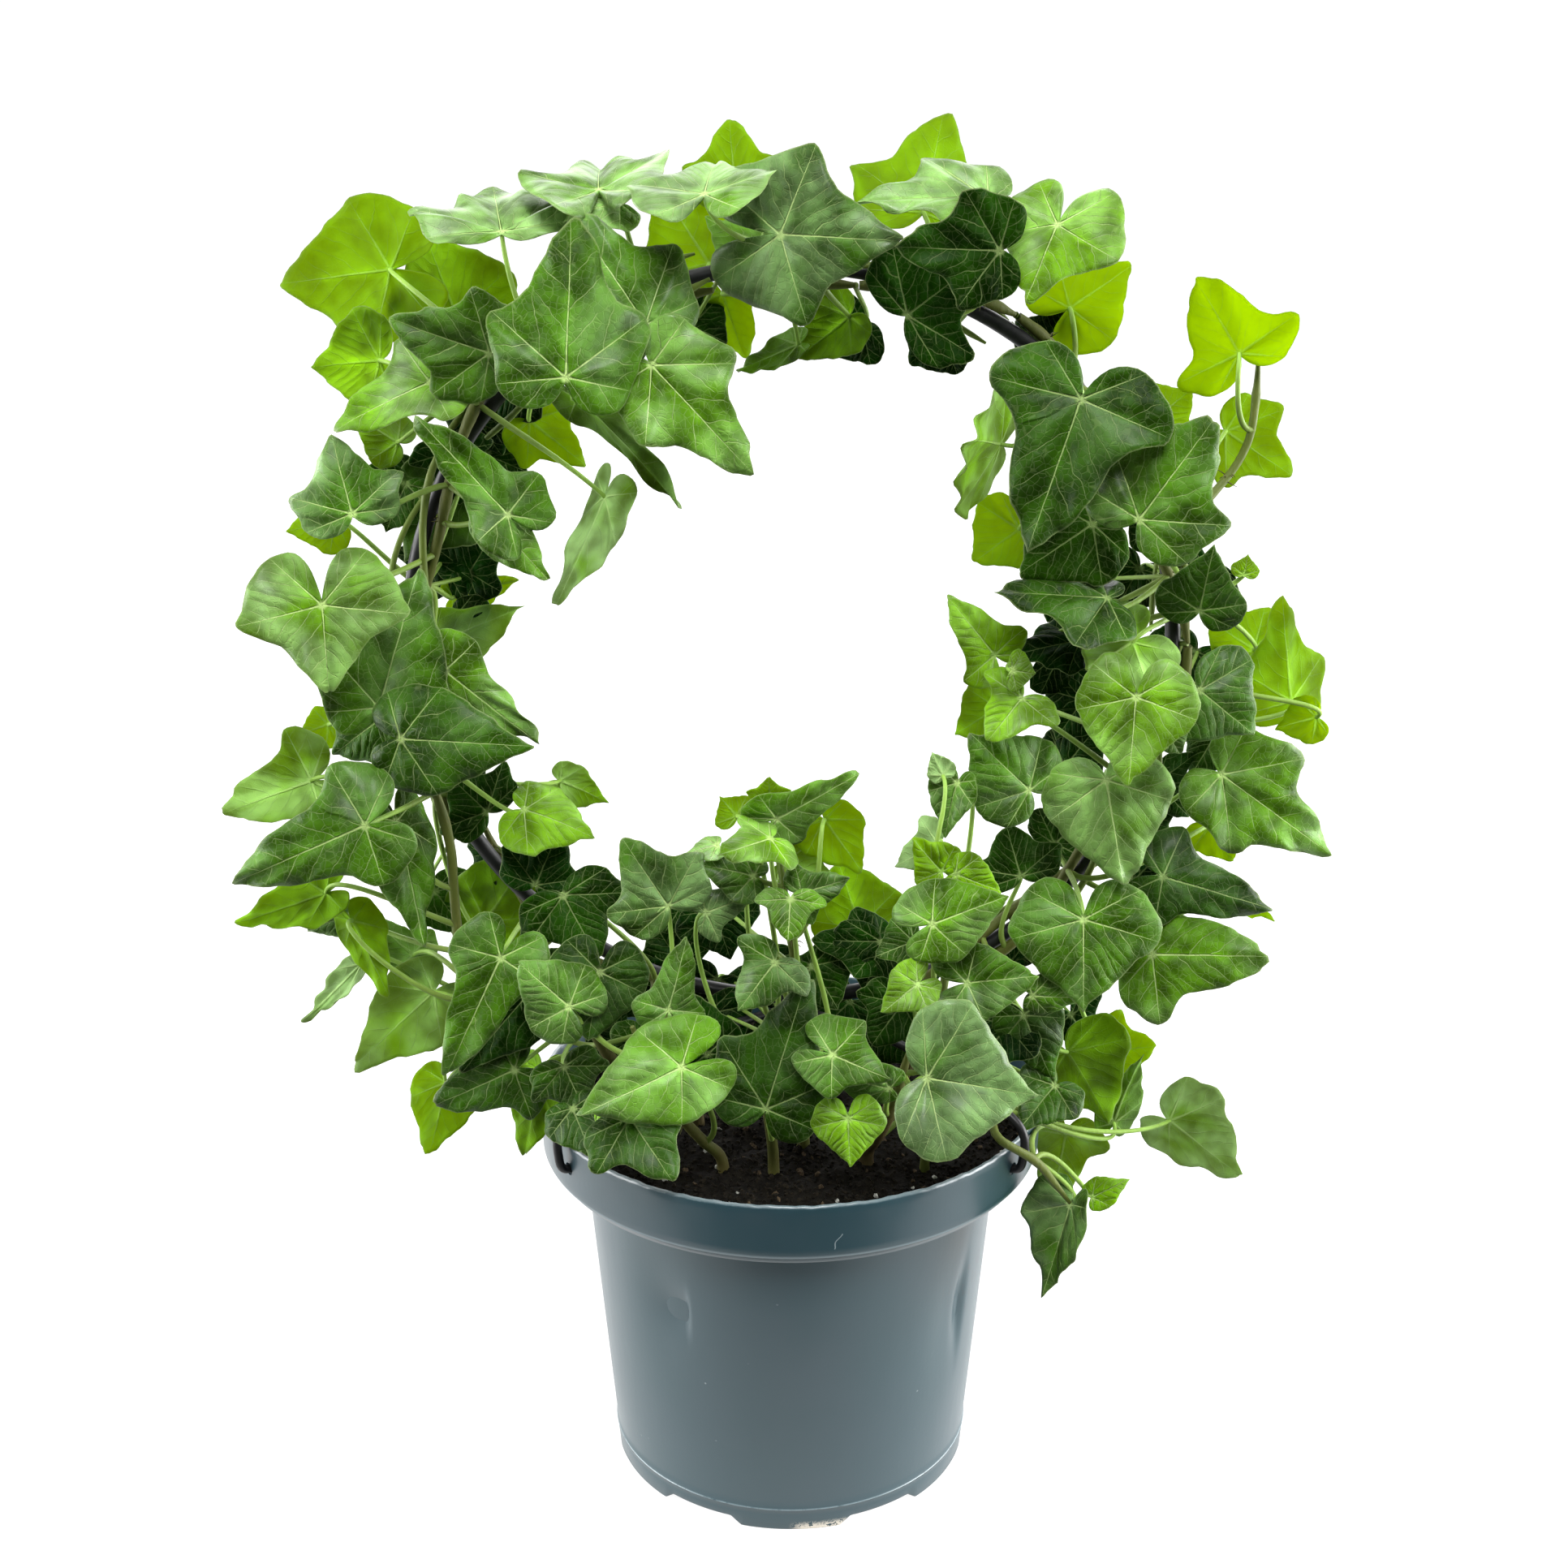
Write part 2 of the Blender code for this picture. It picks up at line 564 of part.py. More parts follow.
def ring_vines():
    """Vines wound round the hoop, named by where they run, clockwise from the lower left."""
    green = (0.045, 0.115, 0.035)
    side = rooted([(-46, -13, 0), (-52, -16, 136), (-60, -22, 152)], 0.0021, 0.0018)
    side_end = [on_sheet(590, 1230, -24), on_sheet(563, 1140, -24), on_sheet(556, 1050, -24),
                on_sheet(536, 975, -22), on_sheet(505, 915, -20)]
    side = side[:-1] + free_route([side[-1][0], *side_end], 0.0015)
    return [
        Vine("vine_left_low", green, [side], [
            Leaf("three", (450, 1017, -44), (284, 1089, -50), 36),
            Leaf("three", (384, 962, -20), (275, 1003, -28), 31, 10, -1),
            Leaf("heart", (488, 1012, -26), (529, 1167, -34), 23, -25),
            Leaf("heart", (402, 1100, -20), (292, 1142, -24), 21, 35, -1),
            Leaf("young", (430, 1128, -16), (378, 1144, -20), 11, 20),
            Leaf("three", (510, 1177, -8), (460, 1136, -2), 18, 15, -1),
            Leaf("heart", (434, 1134, -26), (483, 1226, -30), 16, 30, -1, 0.4),
            Leaf("young", (446, 1186, -10), (378, 1259, -14), 11, 50, -1),
            Leaf("heart", (534, 1222, -14), (437, 1312, -22), 27, -12, -1),
        ]),
        Vine("vine_left_middle", green, [wound(-118.0, -86.7, LEFT_MAIN)], [
            Leaf("heart", (494, 910, -36), (650, 920, -42), 31, 4),
            Leaf("heart", (467, 872, -28), (515, 700, -22), 35, -6),
            Leaf("three", (549, 826, -26), (660, 918, -34), 25, 24),
            Leaf("heart", (466, 888, -14), (405, 932, -12), 25, 10),
            Leaf("five", (600, 1000, -2), (552, 955, 4), 26, 0),
            Leaf("heart", (646, 998, -14), (733, 1026, -18), 28, -38),
            Leaf("heart", (690, 962, 4), (748, 985, 6), 15, 20, -1),
            Leaf("heart", (598, 1136, 6), (672, 1024, 2), 29, 10, -1),
            Leaf("young", (405, 893, -2), (368, 905, -4), 13, 10, -1),
        ]),
        Vine("vine_left_high", green, [wound(-86.0, -56.7, LEFT_MAIN)], [
            Leaf("wide", (397, 746, -46), (405, 850, -58), 43, 4),
            Leaf("five", (434, 633, -26), (407, 536, -20), 31, -10),
            Leaf("heart", (413, 641, 4), (354, 655, 2), 19, 10, -1),
            Leaf("three", (625, 634, -26), (514, 510, -32), 26, 18, 1, 0.3),
            Leaf("heart", (610, 640, -20), (672, 714, -28), 17, 20),
            Leaf("heart", (530, 798, 10), (643, 742, 15), 21, 24, -1),
            Leaf("young", (560, 735, 16), (637, 712, 20), 13, 20, -1),
            Leaf("heart", (566, 600, 12), (500, 690, 8), 32, 0, -1),
        ]),
        Vine("vine_upper_left", green, [wound(-56.0, -32.7, LEFT_MAIN)], [
            Leaf("cordate", (481, 332, 26), (346, 350, 36), 41, 0, -1),
            Leaf("heart", (562, 390, 28), (522, 286, 34), 38, 8, -1),
            Leaf("heart", (468, 444, 18), (386, 452, 20), 30, 0, -1),
            Leaf("three", (530, 472, -12), (411, 521, -24), 31, 38),
            Leaf("five", (603, 434, -18), (479, 396, -26), 31, -18),
            Leaf("five", (618, 287, 0), (606, 222, 34), 45, 4),
            Leaf("five", (652, 518, 12), (721, 573, 15), 22, 0, -1),
            Leaf("heart", (745, 612, -8), (692, 751, -14), 27, 62, -1),
            Leaf("heart", (490, 545, 2), (438, 515, 4), 17, 20, -1),
        ]),
        Vine("vine_top_left", green, [wound(-32.0, -11.7, LEFT_MAIN)], [
            Leaf("five", (697, 465, -34), (705, 264, -26), 41, 4),
            Leaf("five", (795, 400, -18), (704, 259, -12), 37, 6),
            Leaf("five", (803, 450, -26), (931, 586, -36), 34, -4),
            Leaf("wide", (738, 235, 8), (736, 188, 40), 42, -8, 1, 0.3),
            Leaf("young", (764, 252, 0), (697, 260, -14), 20, 60),
            Leaf("three", (712, 490, -10), (850, 615, -12), 20, 46, -1),
        ]),
        Vine("vine_top_middle", green, [wound(-10.0, 9.4, RIGHT_MAIN)], [
            Leaf("five", (906, 236, 30), (898, 147, 36), 29, 8, -1),
            Leaf("wide", (868, 240, -10), (880, 190, 14), 38, -10),
            Leaf("heart", (874, 325, 22), (811, 228, 30), 37, 0, -1),
            Leaf("heart", (936, 298, 12), (872, 278, 22), 23, 46, -1),
            Leaf("wide", (962, 289, -18), (1102, 296, -28), 42, 0),
            Leaf("three", (890, 362, 14), (918, 440, 18), 24, 10, -1),
            Leaf("heart", (1046, 390, 10), (984, 444, 14), 20, 16, -1),
            Leaf("young", (984, 424, 10), (907, 461, 14), 13, 50, -1),
        ]),
        Vine("vine_top_right", green, [wound(10.0, 32.5, RIGHT_MAIN)], [
            Leaf("five", (1137, 262, 14), (1160, 148, 30), 40, 4, -1),
            Leaf("five", (1218, 246, -6), (1053, 238, -14), 34, 60),
            Leaf("wide", (1303, 278, -18), (1263, 369, -34), 37, 6),
            Leaf("five", (1232, 308, -14), (1102, 305, -18), 31, -14),
            Leaf("five", (1118, 388, -4), (1196, 330, 2), 38, 0),
        ]),
        Vine("vine_upper_right", green, [wound(33.0, 60.5, RIGHT_MAIN)], [
            Leaf("cordate", (1318, 380, 12), (1390, 330, 22), 30, 0, -1),
            Leaf("three", (1332, 492, -36), (1265, 679, -46), 50, 4),
            Leaf("five", (1404, 640, -42), (1496, 517, -42), 40, -6),
            Leaf("heart", (1233, 547, -2), (1178, 536, -36), 42, -8, -1, 0.1),
            Leaf("heart", (1420, 520, 12), (1466, 480, 16), 24, 10, -1),
            Leaf("heart", (1346, 646, -14), (1256, 706, -20), 31, 12),
        ]),
        Vine("vine_right_middle", green, [wound(61.0, 88.5, RIGHT_MAIN)], [
            Leaf("heart", (1478, 752, -16), (1496, 673, -20), 25, 0),
            Leaf("five", (1364, 738, -26), (1224, 727, -34), 34, 52),
            Leaf("heart", (1256, 652, 8), (1200, 694, 4), 27, 20, -1),
            Leaf("three", (1225, 807, -14), (1174, 741, -18), 23, 10),
            Leaf("young", (1247, 826, -22), (1277, 830, -22), 12, 0),
            Leaf("wide", (1395, 791, -22), (1332, 831, -34), 33, 12, -1, 0.3),
            Leaf("young", (1330, 790, -14), (1252, 802, -18), 20, 40),
            Leaf("heart", (1545, 800, 10), (1490, 766, 16), 26, 10, -1),
            Leaf("young", (1533, 708, -6), (1538, 684, -6), 8, 0),
        ]),
        Vine("vine_right_low", green, [wound(89.0, 118.4, RIGHT_MAIN)], [
            Leaf("three", (1259, 861, -18), (1217, 911, -26), 24, 8),
            Leaf("heart", (1228, 872, 8), (1176, 906, 4), 21, 0, -1),
            Leaf("cordate", (1400, 859, -46), (1391, 967, -56), 32, 0),
            Leaf("heart", (1363, 961, -36), (1385, 1094, -46), 35, 0),
            Leaf("heart", (1478, 850, -24), (1546, 906, -26), 31, 0),
            Leaf("five", (1591, 864, 4), (1576, 735, 12), 30, 30, -1, 0.35),
            Leaf("young", (1622, 884, -4), (1572, 898, -6), 15, 10, -1),
            Leaf("heart", (1268, 973, -20), (1196, 904, -24), 28, 4),
            Leaf("young", (1430, 890, -26), (1455, 931, -28), 14, 0),
        ]),
        Vine("vine_right_bottom", green, [wound(119.0, 150.0, RIGHT_MAIN)], [
            Leaf("five", (1505, 954, -14), (1647, 1057, -16), 35, -4),
            Leaf("cordate", (1335, 1133, -42), (1335, 1244, -54), 40, 0),
            Leaf("three", (1420, 1176, -30), (1565, 1178, -36), 38, 0),
            Leaf("three", (1433, 1080, -22), (1570, 1121, -28), 29, 0),
            Leaf("five", (1258, 1079, -12), (1240, 1018, -8), 28, 0),
            Leaf("heart", (1490, 1018, 4), (1520, 1062, 2), 18, 10, -1),
            Leaf("young", (1478, 1110, -8), (1570, 1122, -12), 16, 60, -1),
        ]),
    ]


def second_vines():
    """Rooted vines that join the hoop beside the first strand, and a shoot that leaves it."""
    left = rooted([(-28, -9, 0), (-36, -10, 136), (-41, -8, 152)], 0.0021, STEM_RADIUS,
                  wound(-WIND_ENTRY, -120.0, LEFT_SECOND))
    right = rooted([(29, -9, 0), (36, -10, 136), (41, -8, 152)], 0.0024, STEM_RADIUS,
                   wound(WIND_ENTRY, 120.0, RIGHT_SECOND))
    shoot = wound(58.0, 72.0, RIGHT_THIRD)
    shoot_end = [on_sheet(1512, 588, 8), on_sheet(1542, 530, 10), on_sheet(1551, 436, 12)]
    brown = (0.05, 0.11, 0.035)
    return [
        Vine("vine_left_rooted", brown, [left], [
            Leaf("three", (617, 1180, -46), (549, 1326, -58), 29, 0),
            Leaf("heart", (650, 1226, -34), (566, 1320, -42), 22, 20),
            Leaf("three", (634, 1318, -38), (534, 1364, -44), 30, -10),
            Leaf("heart", (668, 1322, -12), (650, 1425, -18), 21, 12, -1),
            Leaf("heart", (550, 1334, -16), (531, 1423, -26), 22, 20, -1),
            Leaf("five", (694, 1103, -32), (735, 1179, -40), 33, 0),
            Leaf("five", (695, 1313, -46), (722, 1372, -50), 24, 0),
            Leaf("five", (660, 1090, -16), (690, 1020, -12), 26, 0),
        ]),
        Vine("vine_right_rooted", brown, [right], [
            Leaf("heart", (1315, 1296, -8), (1371, 1379, -16), 34, 18, -1, 0.5),
            Leaf("five", (1364, 1296, 10), (1424, 1288, 10), 25, 10, -1),
            Leaf("heart", (1300, 1338, -6), (1256, 1390, -10), 22, 20),
            Leaf("five", (1080, 1168, -6), (1002, 1158, -10), 22, 20),
            Leaf("heart", (1060, 1144, 6), (1028, 1050, 10), 28, 0, -1),
            Leaf("heart", (1262, 1250, -22), (1296, 1330, -26), 22, 0),
        ]),
        Vine("shoot_upper_right", brown, [shoot[:-1] + free_route([shoot[-1][0], *shoot_end], 0.0012)], [
            Leaf("three", (1527, 436, 8), (1474, 342, 14), 37, -12, -1),
            Leaf("five", (1510, 531, 14), (1588, 584, 18), 27, 0, -1),
        ]),
    ]


def soil_shoots():
    """Short stems that stand in the soil in front of the hoop."""
    green = (0.05, 0.125, 0.04)
    trail = rooted([(50, -14, 0), (56, -20, 132)], 0.0018, STEM_RADIUS)
    trail_end = [on_sheet(1232, 1404, -47), on_sheet(1275, 1430, -46), on_sheet(1318, 1482, -42)]
    return [
        Vine("shoot_front_left", green,
             [rooted([(-20, -36, 0), (-34, -48, 140), (-44, -52, 166)], 0.0019, 0.0014)], [
                 Leaf("cordate", (840, 1315, -66), (717, 1374, -76), 29, 0),
                 Leaf("five", (776, 1377, -66), (827, 1453, -80), 32, 0),
                 Leaf("heart", (706, 1366, -52), (728, 1424, -64), 20, 10),
                 Leaf("cordate", (701, 1240, -58), (641, 1188, -60), 24, 0),
                 Leaf("cordate", (739, 1197, -50), (724, 1288, -56), 27, 0),
                 Leaf("three", (823, 1244, -52), (848, 1157, -48), 21, 20),
                 Leaf("five", (823, 1116, -46), (770, 1038, -48), 30, 0),
                 Leaf("young", (735, 1384, -62), (768, 1400, -66), 13, 10),
             ]),
        Vine("shoot_front_centre", green,
             [rooted([(-5, -38, 0), (-7, -42, 136), (-14, -44, 158)], 0.0019, 0.0014)], [
                 Leaf("five", (944, 1366, -56), (991, 1216, -52), 36, 0),
                 Leaf("heart", (872, 1298, -42), (848, 1222, -40), 22, 0),
                 Leaf("three", (955, 1186, -46), (911, 1243, -56), 25, 0),
             ]),
        Vine("shoot_front_right", green,
             [rooted([(22, -32, 0), (28, -46, 136), (33, -50, 158)], 0.0026, 0.0015)], [
                 Leaf("heart", (1142, 1328, -70), (1277, 1350, -72), 44, 4),
                 Leaf("wide", (1026, 1300, -58), (1097, 1330, -66), 23, 0),
                 Leaf("young", (1096, 1340, -56), (1014, 1326, -60), 15, -40),
                 Leaf("cordate", (1045, 1378, -62), (1047, 1438, -66), 21, 0),
                 Leaf("cordate", (1192, 1211, -52), (1280, 1203, -58), 22, 0),
                 Leaf("young", (1272, 1226, -46), (1336, 1232, -48), 13, 30),
             ]),
        Vine("young_shoot_centre", green,
             [rooted([(4, -24, 0), (4, -30, 140), (1, -38, 178), (-3, -42, 212)], 0.0017, 0.0010)], [
                 Leaf("wide", (948, 981, -42), (947, 962, -48), 12, 0),
                 Leaf("three", (957, 1008, -40), (1058, 958, -46), 21, 34),
                 Leaf("three", (949, 1034, -46), (884, 1054, -56), 23, 38),
                 Leaf("young", (908, 1006, -32), (887, 982, -30), 12, 0, -1),
                 Leaf("young", (884, 1042, -40), (844, 1051, -42), 9, 40),
                 Leaf("heart", (1016, 1010, -34), (1061, 1070, -32), 20, 16, -1),
                 Leaf("young", (966, 1064, -30), (1029, 1078, -30), 16, 40, -1),
                 Leaf("heart", (928, 1080, -42), (859, 1062, -44), 16, 20),
                 Leaf("three", (974, 1108, -50), (971, 1160, -58), 20, 0),
                 Leaf("three", (988, 1100, -44), (1046, 1083, -44), 18, 10),
                 Leaf("three", (870, 1124, -44), (926, 1104, -42), 19, 10),
             ]),
        Vine("young_shoot_right", green,
             [rooted([(39, -34, 0), (41, -42, 150), (43, -48, 190), (44, -46, 206)], 0.0016, 0.0010)], [
                 Leaf("cordate", (1149, 1138, -56), (1240, 1105, -62), 22, 4),
                 Leaf("heart", (1160, 1073, -50), (1125, 1035, -54), 15, 0),
                 Leaf("young", (1178, 1076, -46), (1233, 1100, -50), 15, 20),
                 Leaf("cordate", (1130, 1213, -58), (1088, 1247, -64), 15, 0),
                 Leaf("three", (1156, 1040, -36), (1104, 1068, -38), 20, 20, -1),
                 Leaf("heart", (1126, 1160, -42), (1079, 1178, -46), 16, 20),
                 Leaf("heart", (1180, 964, -36), (1160, 1033, -40), 14, 20, 1, 0.4),
                 Leaf("young", (1162, 956, -38), (1148, 926, -38), 8, 0, -1),
             ]),
        Vine("shoot_trailing_right", green, [trail[:-1] + free_route([trail[-1][0], *trail_end], 0.0013)], [
            Leaf("heart", (1320, 1484, -40), (1283, 1598, -44), 25, 40, 1, 0.5),
            Leaf("young", (1346, 1475, -36), (1391, 1453, -38), 10, 0),
            Leaf("three", (1313, 1397, -14), (1297, 1483, -20), 27, 10, -1),
            Leaf("heart", (1441, 1381, -8), (1531, 1447, -16), 32, 40, -1, 0.3),
            Leaf("young", (1372, 1384, -12), (1402, 1296, -8), 14, 30, -1),
        ]),
    ]


def blade_outline(form):
    """Whole outline of a form, from the sinus up the right side, over the tip and back down."""
    half = FORMS[form]
    return [*half, *[(-across, along) for across, along in half[-2:0:-1]]]


@dataclass
class Pose:
    """Place of a blade in space: joint, midrib, side and upward vectors, length and width."""

    joint: Vector
    midrib: Vector
    side: Vector
    upward: Vector
    length: float
    width: float


def blade_pose(leaf, shift, tip_shift, roll_shift):
    """Place of a leaf after it is eased by millimetres of depth and degrees of roll."""
    joint = on_sheet(leaf.joint[0], leaf.joint[1], leaf.joint[2] + shift)
    tip = on_sheet(leaf.tip[0], leaf.tip[1], leaf.tip[2] + shift + tip_shift)
    midrib = tip - joint
    length = midrib.length
    midrib.normalize()
    sight = (EYE - joint).normalized()
    upward = (sight - midrib * sight.dot(midrib)).normalized()
    upward.rotate(Matrix.Rotation(math.radians(leaf.roll + roll_shift), 3, midrib))
    upward *= leaf.face
    return Pose(joint, midrib, midrib.cross(upward), upward, length, leaf.width * MM)


def blade_solid(leaf, pose, thickness, number):
    """Waved blade: a fan from its sinus, split alike on both faces."""
    draw = random.Random(SEED + number)
    ripple = draw.uniform(*RIPPLE_SHARE)
    phase = draw.uniform(0.0, math.tau)
    droop = draw.uniform(*DROOP_SHARE)
    fold = leaf.fold * draw.choice((-1.0, 1.0)) if leaf.fold < FOLDED else leaf.fold
    thickness *= math.hypot(1.0, fold) * (1.0 + RIPPLE_SHARE[1])
    middle = []
    for index, (across, along) in enumerate(blade_outline(leaf.form)):
        rise = fold * abs(across) * pose.width
        rise += ripple * pose.length * math.sin(RIPPLE_TURN * index + phase) * min(1.0, abs(across) * 3)
        rise -= droop * pose.length * max(0.0, along) ** 2
        middle.append(pose.joint + pose.midrib * (along * pose.length)
                      + pose.side * (across * pose.width) + pose.upward * rise)
    count = len(middle)
    half = pose.upward * (thickness / 2)
    vertices = [point + half for point in middle] + [point - half for point in middle]
    faces = []
    for index in range(1, count - 1):
        faces.append((0, index, index + 1))
        faces.append((count, count + index + 1, count + index))
    for index in range(count):
        after = (index + 1) % count
        faces.append((index, count + index, count + after))
        faces.append((index, count + after, after))
    return vertices, faces


def stalk_solid(start, outward, pose, swing, radius):
    """Leaf stalk from inside the stem to the joint, which it reaches from the underside."""
    gap = (pose.joint - start).length
    spans = 1 if gap < SHORT_STALK else STALK_SPANS
    arrive = (pose.upward + pose.midrib * ARRIVE_ALONG + pose.side * swing * ARRIVE_ACROSS).normalized()
    handles = [start, start + outward * (gap / 3), pose.joint - arrive * (gap / 3), pose.joint]
    path = []
    for step in range(spans + 1):
        t = step / spans
        path.append(handles[0] * (1 - t) ** 3 + handles[1] * (3 * t * (1 - t) ** 2)
                    + handles[2] * (3 * t * t * (1 - t)) + handles[3] * t ** 3)
    radii = [radius * (1.0 - STALK_TAPER * step / spans) for step in range(spans + 1)]
    return tube(path, radii, STALK_SIDES)


class Obstacle:
    """A placed solid that later ones must clear."""

    def __init__(self, vertices, faces, owner, kind):
        self.tree = BVHTree.FromPolygons(vertices, faces)
        self.low = Vector([min(point[axis] for point in vertices) for axis in range(3)])
        self.high = Vector([max(point[axis] for point in vertices) for axis in range(3)])
        self.owner = owner
        self.kind = kind

    def meets(self, other):
        """Whether the two surfaces cross."""
        for axis in range(3):
            if self.low[axis] > other.high[axis] or other.low[axis] > self.high[axis]:
                return False
        return bool(self.tree.overlap(other.tree))


def object_obstacle(made, owner):
    """Obstacle from a finished object."""
    mesh = made.data
    points = [vertex.co.copy() for vertex in mesh.vertices]
    return Obstacle(points, [tuple(face.vertices) for face in mesh.polygons], owner, "fixed")


def place_blades(vines, obstacles):
    """Ease each blade, the largest first, until it crosses nothing that is already placed."""
    jobs = []
    for vine in vines:
        for leaf in vine.leaves:
            jobs.append((vine, leaf, len(jobs)))
    size = {number: blade_pose(leaf, 0, 0, 0) for _, leaf, number in jobs}
    jobs.sort(key=lambda job: -size[job[2]].length * size[job[2]].width)
    placed = {}
    for vine, leaf, number in jobs:
        for ease in EASES:
            pose = blade_pose(leaf, *ease)
            vertices, faces = blade_solid(leaf, pose, BLADE + 2 * EASE, number)
            trial = Obstacle(vertices, faces, vine.name, "blade")
            if not any(trial.meets(other) for other in obstacles):
                placed[number] = pose
                obstacles.append(trial)
                break
    return placed


def place_stalk(vine, pose, blade, obstacles):
    """Clear stalk from the vine's stems to a blade's joint, about as long as the blade."""
    wanted = min(LONGEST_STALK, pose.length)
    spots = []
    for route in vine.routes:
        for (spot, radius), (after, _) in zip(route[1:-1], route[2:]):
            if spot.z < SOIL_CROWN + BARE_FOOT:
                continue
            along = (after - spot).normalized()
            outward = pose.joint - spot
            outward -= along * outward.dot(along)
            reach = (pose.joint - spot).length
            if reach > LEAST_STALK and outward.length > LEAST_STALK / 4:
                spots.append((abs(reach - wanted), spot, outward.normalized(), radius))
    spots.sort(key=lambda entry: entry[0])
    for own in (False, True):
        for _, spot, outward, radius in spots[:STALK_SPOTS]:
            for swing in STALK_SWINGS:
                for lean in STALK_LEANS:
                    turned = (outward + pose.upward * lean).normalized()
                    thick = min(STALK_RADIUS, radius * STALK_SHARE)
                    fat = stalk_solid(spot, turned, pose, swing, thick + EASE)
                    trial = Obstacle(*fat, vine.name, "stalk")
                    for other in obstacles:
                        if other is blade or other.owner == vine.name and (own or other.kind == "stem"):
                            continue
                        if trial.meets(other):
                            break
                    else:
                        obstacles.append(trial)
                        return stalk_solid(spot, turned, pose, swing, thick)
    return None


def build_vines(vines, fixed):
    """Place every leaf of every vine, then fuse each vine into one body."""
    obstacles = list(fixed)
    stems = {}
    for vine in vines:
        stems[vine.name] = []
        for route in vine.routes:
            points = [spot for spot, _ in route]
            radii = [radius for _, radius in route]
            solid = tube(points, radii, STEM_SIDES)
            fat = tube(points, [radius + EASE for radius in radii], STEM_SIDES)
            stems[vine.name].append(solid)
            obstacles.append(Obstacle(*fat, vine.name, "stem"))
    placed = place_blades(vines, obstacles)
    blades = [other for other in obstacles if other.kind == "blade"]
    owners = {}
    number = 0
    for vine in vines:
        for leaf in vine.leaves:
            owners[number] = (vine, leaf)
            number += 1
    solids = {vine.name: list(stems[vine.name]) for vine in vines}
    for number in sorted(placed):
        vine, leaf = owners[number]
        pose = placed[number]
        own = min(blades, key=lambda other: nearest(other, pose.joint))
        stalk = place_stalk(vine, pose, own, obstacles)
        if stalk is None:
            continue
        solids[vine.name].append(stalk)
        solids[vine.name].append(blade_solid(leaf, pose, BLADE, number))
    made = []
    for vine in vines:
        body = fuse(vine.name, solids[vine.name])
        body.data.materials.append(material(vine.name + "_leaf", vine.colour, 0.42))
        made.append(body)
    return made


def nearest(obstacle, point):
    """Distance from an obstacle's surface to a point."""
    return obstacle.tree.find_nearest(point)[3]


def finish(made, name, colour, roughness, smooth_angle):
    """Give a piece its material and shade its round parts smooth."""
    made.data.materials.clear()
    made.data.materials.append(material(name, colour, roughness))
    made.data.shade_smooth()
    made.data.set_sharp_from_angle(angle=math.radians(smooth_angle))


def main():
    """Clear the scene and build every piece."""
    for other in list(bpy.data.objects):
        bpy.data.objects.remove(other)
    pot = build_pot()
    finish(pot, "slate_plastic", (0.075, 0.115, 0.14), 0.38, 40.0)
    hoop = build_hoop()
    finish(hoop, "black_rod", (0.02, 0.022, 0.022), 0.4, 50.0)
    vines = ring_vines() + second_vines() + soil_shoots()
    feet = []
    for vine in vines:
        for route in vine.routes:
            foot, radius = route[0]
            if foot.z < SOIL_EDGE:
                feet.append((foot, radius))
    soil = build_soil(feet)
    finish(soil, "potting_mix", (0.022, 0.016, 0.012), 0.95, 30.0)
    fixed = [object_obstacle(pot, "pot"), object_obstacle(hoop, "ring_hoop"),
             object_obstacle(soil, "potting_soil")]
    build_vines(vines, fixed)


main()
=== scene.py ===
"""English ivy on a ring hoop in a nursery pot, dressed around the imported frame.

Sizes are in metres unless a name says otherwise. The pot stands on the floor at z = 0 with its axis
on +Z, the hoop stands in the XZ plane, and the front of the plant looks along -Y.
"""

import json
import logging
import math
import random
from collections.abc import Callable, Sequence
from dataclasses import dataclass, field
from enum import Enum

import bmesh
import bpy
import numpy as np
from mathutils import Matrix, Vector
from mathutils.bvhtree import BVHTree

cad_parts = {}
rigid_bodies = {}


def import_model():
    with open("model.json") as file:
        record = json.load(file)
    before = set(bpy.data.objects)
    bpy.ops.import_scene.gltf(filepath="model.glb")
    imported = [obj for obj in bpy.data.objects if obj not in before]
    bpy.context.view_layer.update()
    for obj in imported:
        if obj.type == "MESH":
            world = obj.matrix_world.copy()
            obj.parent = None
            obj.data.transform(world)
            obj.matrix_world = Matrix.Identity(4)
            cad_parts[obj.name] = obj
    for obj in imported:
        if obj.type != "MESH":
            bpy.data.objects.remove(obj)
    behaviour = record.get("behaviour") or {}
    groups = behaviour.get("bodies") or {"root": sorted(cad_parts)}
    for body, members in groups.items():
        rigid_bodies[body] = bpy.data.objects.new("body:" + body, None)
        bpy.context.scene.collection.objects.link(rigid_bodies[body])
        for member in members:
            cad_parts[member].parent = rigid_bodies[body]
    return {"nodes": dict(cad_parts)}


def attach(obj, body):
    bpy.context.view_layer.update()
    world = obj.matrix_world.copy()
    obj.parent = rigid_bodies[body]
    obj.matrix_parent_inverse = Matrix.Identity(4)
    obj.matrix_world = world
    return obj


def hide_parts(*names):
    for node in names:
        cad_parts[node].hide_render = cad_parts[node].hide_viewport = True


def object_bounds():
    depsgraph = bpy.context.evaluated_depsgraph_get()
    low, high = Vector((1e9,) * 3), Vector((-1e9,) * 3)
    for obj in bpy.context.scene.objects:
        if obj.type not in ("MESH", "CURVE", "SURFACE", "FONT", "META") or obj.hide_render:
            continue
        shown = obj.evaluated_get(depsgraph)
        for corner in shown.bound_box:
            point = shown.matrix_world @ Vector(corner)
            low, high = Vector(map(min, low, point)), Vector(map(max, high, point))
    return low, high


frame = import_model()
CAD_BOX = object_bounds()

